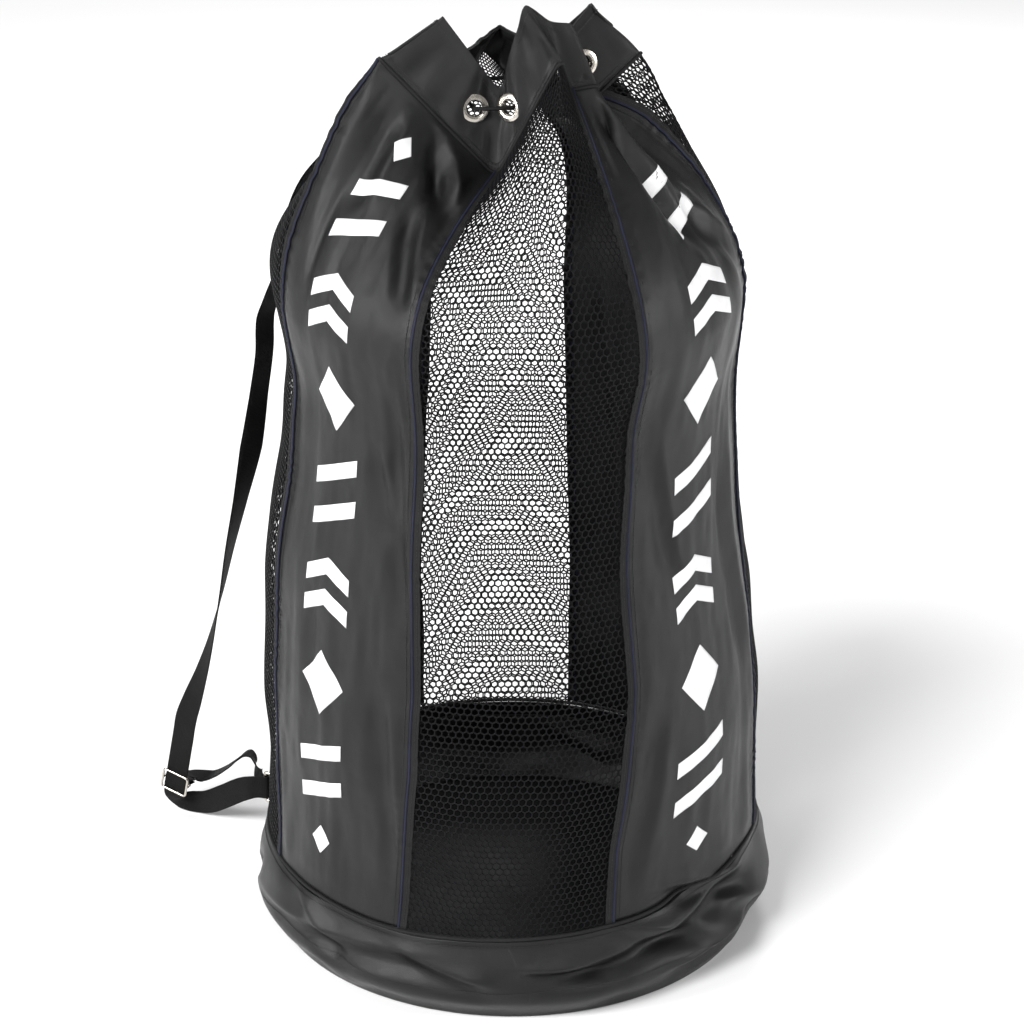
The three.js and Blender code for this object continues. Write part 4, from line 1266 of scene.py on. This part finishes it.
def add_slide():
    """A wire frame in front of the strap, with posts back to the bar that holds the sewn loop."""
    matrix = slide_matrix()
    front = WEBBING / 2 + GAP + SLIDE_WIRE / 2
    half_width = (WEBBING_WIDTH + 0.002 + SLIDE_WIRE) / 2
    outline = loop_line(2 * half_width, SLIDE_LENGTH - SLIDE_WIRE, 0.003) + np.array([0, 0, front])
    bar = np.array([[-half_width, 0, SLIDE_BAR], [half_width, 0, SLIDE_BAR]])
    parts = [tube(outline, SLIDE_WIRE / 2, 14, True), tube(bar, SLIDE_WIRE / 2, 14)]
    for side in (-half_width, half_width):
        post = np.array([[side, 0, front], [side, 0, SLIDE_BAR]])
        parts.append(tube(post, SLIDE_WIRE / 2, 14))
    slide = make_swept("strap_wire_slide", [placed(part, matrix) for part in parts], "nickel")
    ride(slide, "slide", "strap_slide")


def add_sewn_loop():
    """The strap's end, folded round the slide's bar and sewn to itself."""
    wrap = 0.0027
    turns = np.linspace(math.pi, 0, 7)
    around = [(math.cos(turn) * wrap, SLIDE_BAR + math.sin(turn) * wrap) for turn in turns]
    loop = [(-0.004, SLIDE_BAR - 0.014), (-wrap, SLIDE_BAR - 0.005), *around]
    loop += [(wrap - 0.0002, SLIDE_BAR - 0.005), (-0.0014, SLIDE_BAR - 0.014)]
    width = np.array([1.0, 0, 0])
    stations = [(np.array([0, along, depth]), width) for along, depth in loop]
    path, strip = ribbon(stations, WEBBING_WIDTH, WEBBING, 90)
    sewn = make_swept("strap_sewn_loop", [placed(strip, slide_matrix())], "webbing")
    ride(sewn, "slide", "strap_sewn_end")


def add_ring():
    matrix = axes_matrix(STRAP_OUT, UPRIGHT, strap_point(RING_DEPTH / 2, 0, RING_HEIGHT))
    wire = tube(loop_line(RING_DEPTH, RING_TALL, 0.002), RING_WIRE / 2, 14, True)
    ring = make_swept("strap_wire_ring", [placed(wire, matrix)], "nickel")
    ride(ring, "strap", "strap_ring")


def add_ring_tab():
    """A tab sewn to the base band, folded round the ring's inner side."""
    wrap = RING_WIRE / 2 + GAP + WEBBING / 2
    near, far, step, turn = -0.0074, -0.009, WEBBING + GAP, wrap * math.sqrt(0.5)
    outline = [
        (far, 0.030), (near, 0.012), (-wrap - 0.0006, 0.002), (-turn, -turn), (0, -wrap), (turn, -turn),
        (wrap, 0), (turn, turn), (-0.0005, wrap + 0.0006), (near + step, 0.014), (far + step, 0.030),
    ]
    stations = [(strap_point(out, -side, RING_HEIGHT), UPRIGHT) for out, side in outline]
    path, strip = ribbon(stations, TAB_WIDTH, WEBBING, 160)
    tab = make_swept("strap_tab_webbing", [strip], "webbing")
    ride(tab, "root", "strap_ring_tab")


# ---------- printed marks on the front panels ----------


PRINT_LEVELS = np.linspace(0.167, 0.858, 7)
PRINT_ENDS = [0.075, 0.935]
PRINT_LIFT = 0.0003
LEVEL_LENGTH = (SHOULDER_HEIGHT - SEAM_HEIGHT) / SHOULDER_LEVEL  # metres of cloth for one whole level


def print_patch(angle, level, marks):
    """A printed patch: marks is a grid of (across, up) offsets in metres from a point on a panel."""
    angles, levels = angle + marks[..., 0] / CLOTH_PITCH, level + marks[..., 1] / LEVEL_LENGTH
    points = cloth(angles, levels, PRINT_LIFT * 1.2)
    return points.reshape(-1, 3), grid_faces(*points.shape[:2]).tolist(), marks.reshape(-1, 2)


def bar_patch(width, low, high, slant=0.0):
    x, y = np.meshgrid(np.linspace(-width / 2, width / 2, 20), np.linspace(low, high, 8))
    return np.stack([x, y + x * slant], axis=-1)


def diamond_patch(width, height):
    u, v = np.meshgrid(np.linspace(-0.5, 0.5, 18), np.linspace(-0.5, 0.5, 18))
    return np.stack([(u - v) * width / 2, (u + v) * height / 2], axis=-1)


def chevron_patch(width, low, high, rise):
    x, y = np.meshgrid(np.linspace(-width / 2, width / 2, 25), np.linspace(low, high, 8))
    return np.stack([x, y + rise * (1 - 2 * np.abs(x) / width)], axis=-1)


def add_print(name, angle, drift=0.0):
    """Plain bars, diamonds and chevrons up a panel in white ink, which drift sideways near its top."""

    def printed(level, marks):
        return print_patch(angle + drift * np.clip((level - 0.75) / 0.12, 0, 1), level, marks)

    shapes = [
        [bar_patch(0.060, 0.012, 0.028, 0.35), bar_patch(0.060, -0.028, -0.012, 0.35)],
        [diamond_patch(0.058, 0.066)],
        [chevron_patch(0.060, 0.000, 0.016, 0.014), chevron_patch(0.060, -0.030, -0.014, 0.014)],
    ]
    parts = []
    for number, level in enumerate(PRINT_LEVELS):
        parts += [printed(level, marks) for marks in shapes[number % 3]]
    parts += [printed(level, diamond_patch(0.026, 0.030)) for level in PRINT_ENDS]
    vertices, faces, uv = merged(parts)
    ink = make(name, vertices, faces, "print", uv=uv)
    ride(apply_modifiers(thicken(ink, PRINT_LIFT)), "root")


# ---------- floor ----------


def add_floor():
    corners = [(-30, -30, 0), (30, -30, 0), (30, 30, 0), (-30, 30, 0)]
    floor = make("floor", corners, [(0, 1, 2, 3)], "floor")
    floor.location.z = -0.0005


add_camera()
looks = make_looks()
add_drawcord()
add_cord_lock()
add_light()
add_floor()
add_base()
add_panels()
for window, (first, last) in WINDOWS.items():
    add_net(window, first, last)
add_bindings()
add_collar()
add_eyelets()
add_webbing()
add_slide()
add_sewn_loop()
add_ring()
add_ring_tab()
add_print("front_left_print", -52.0)
add_print("front_right_print", 47.0, drift=5.0)
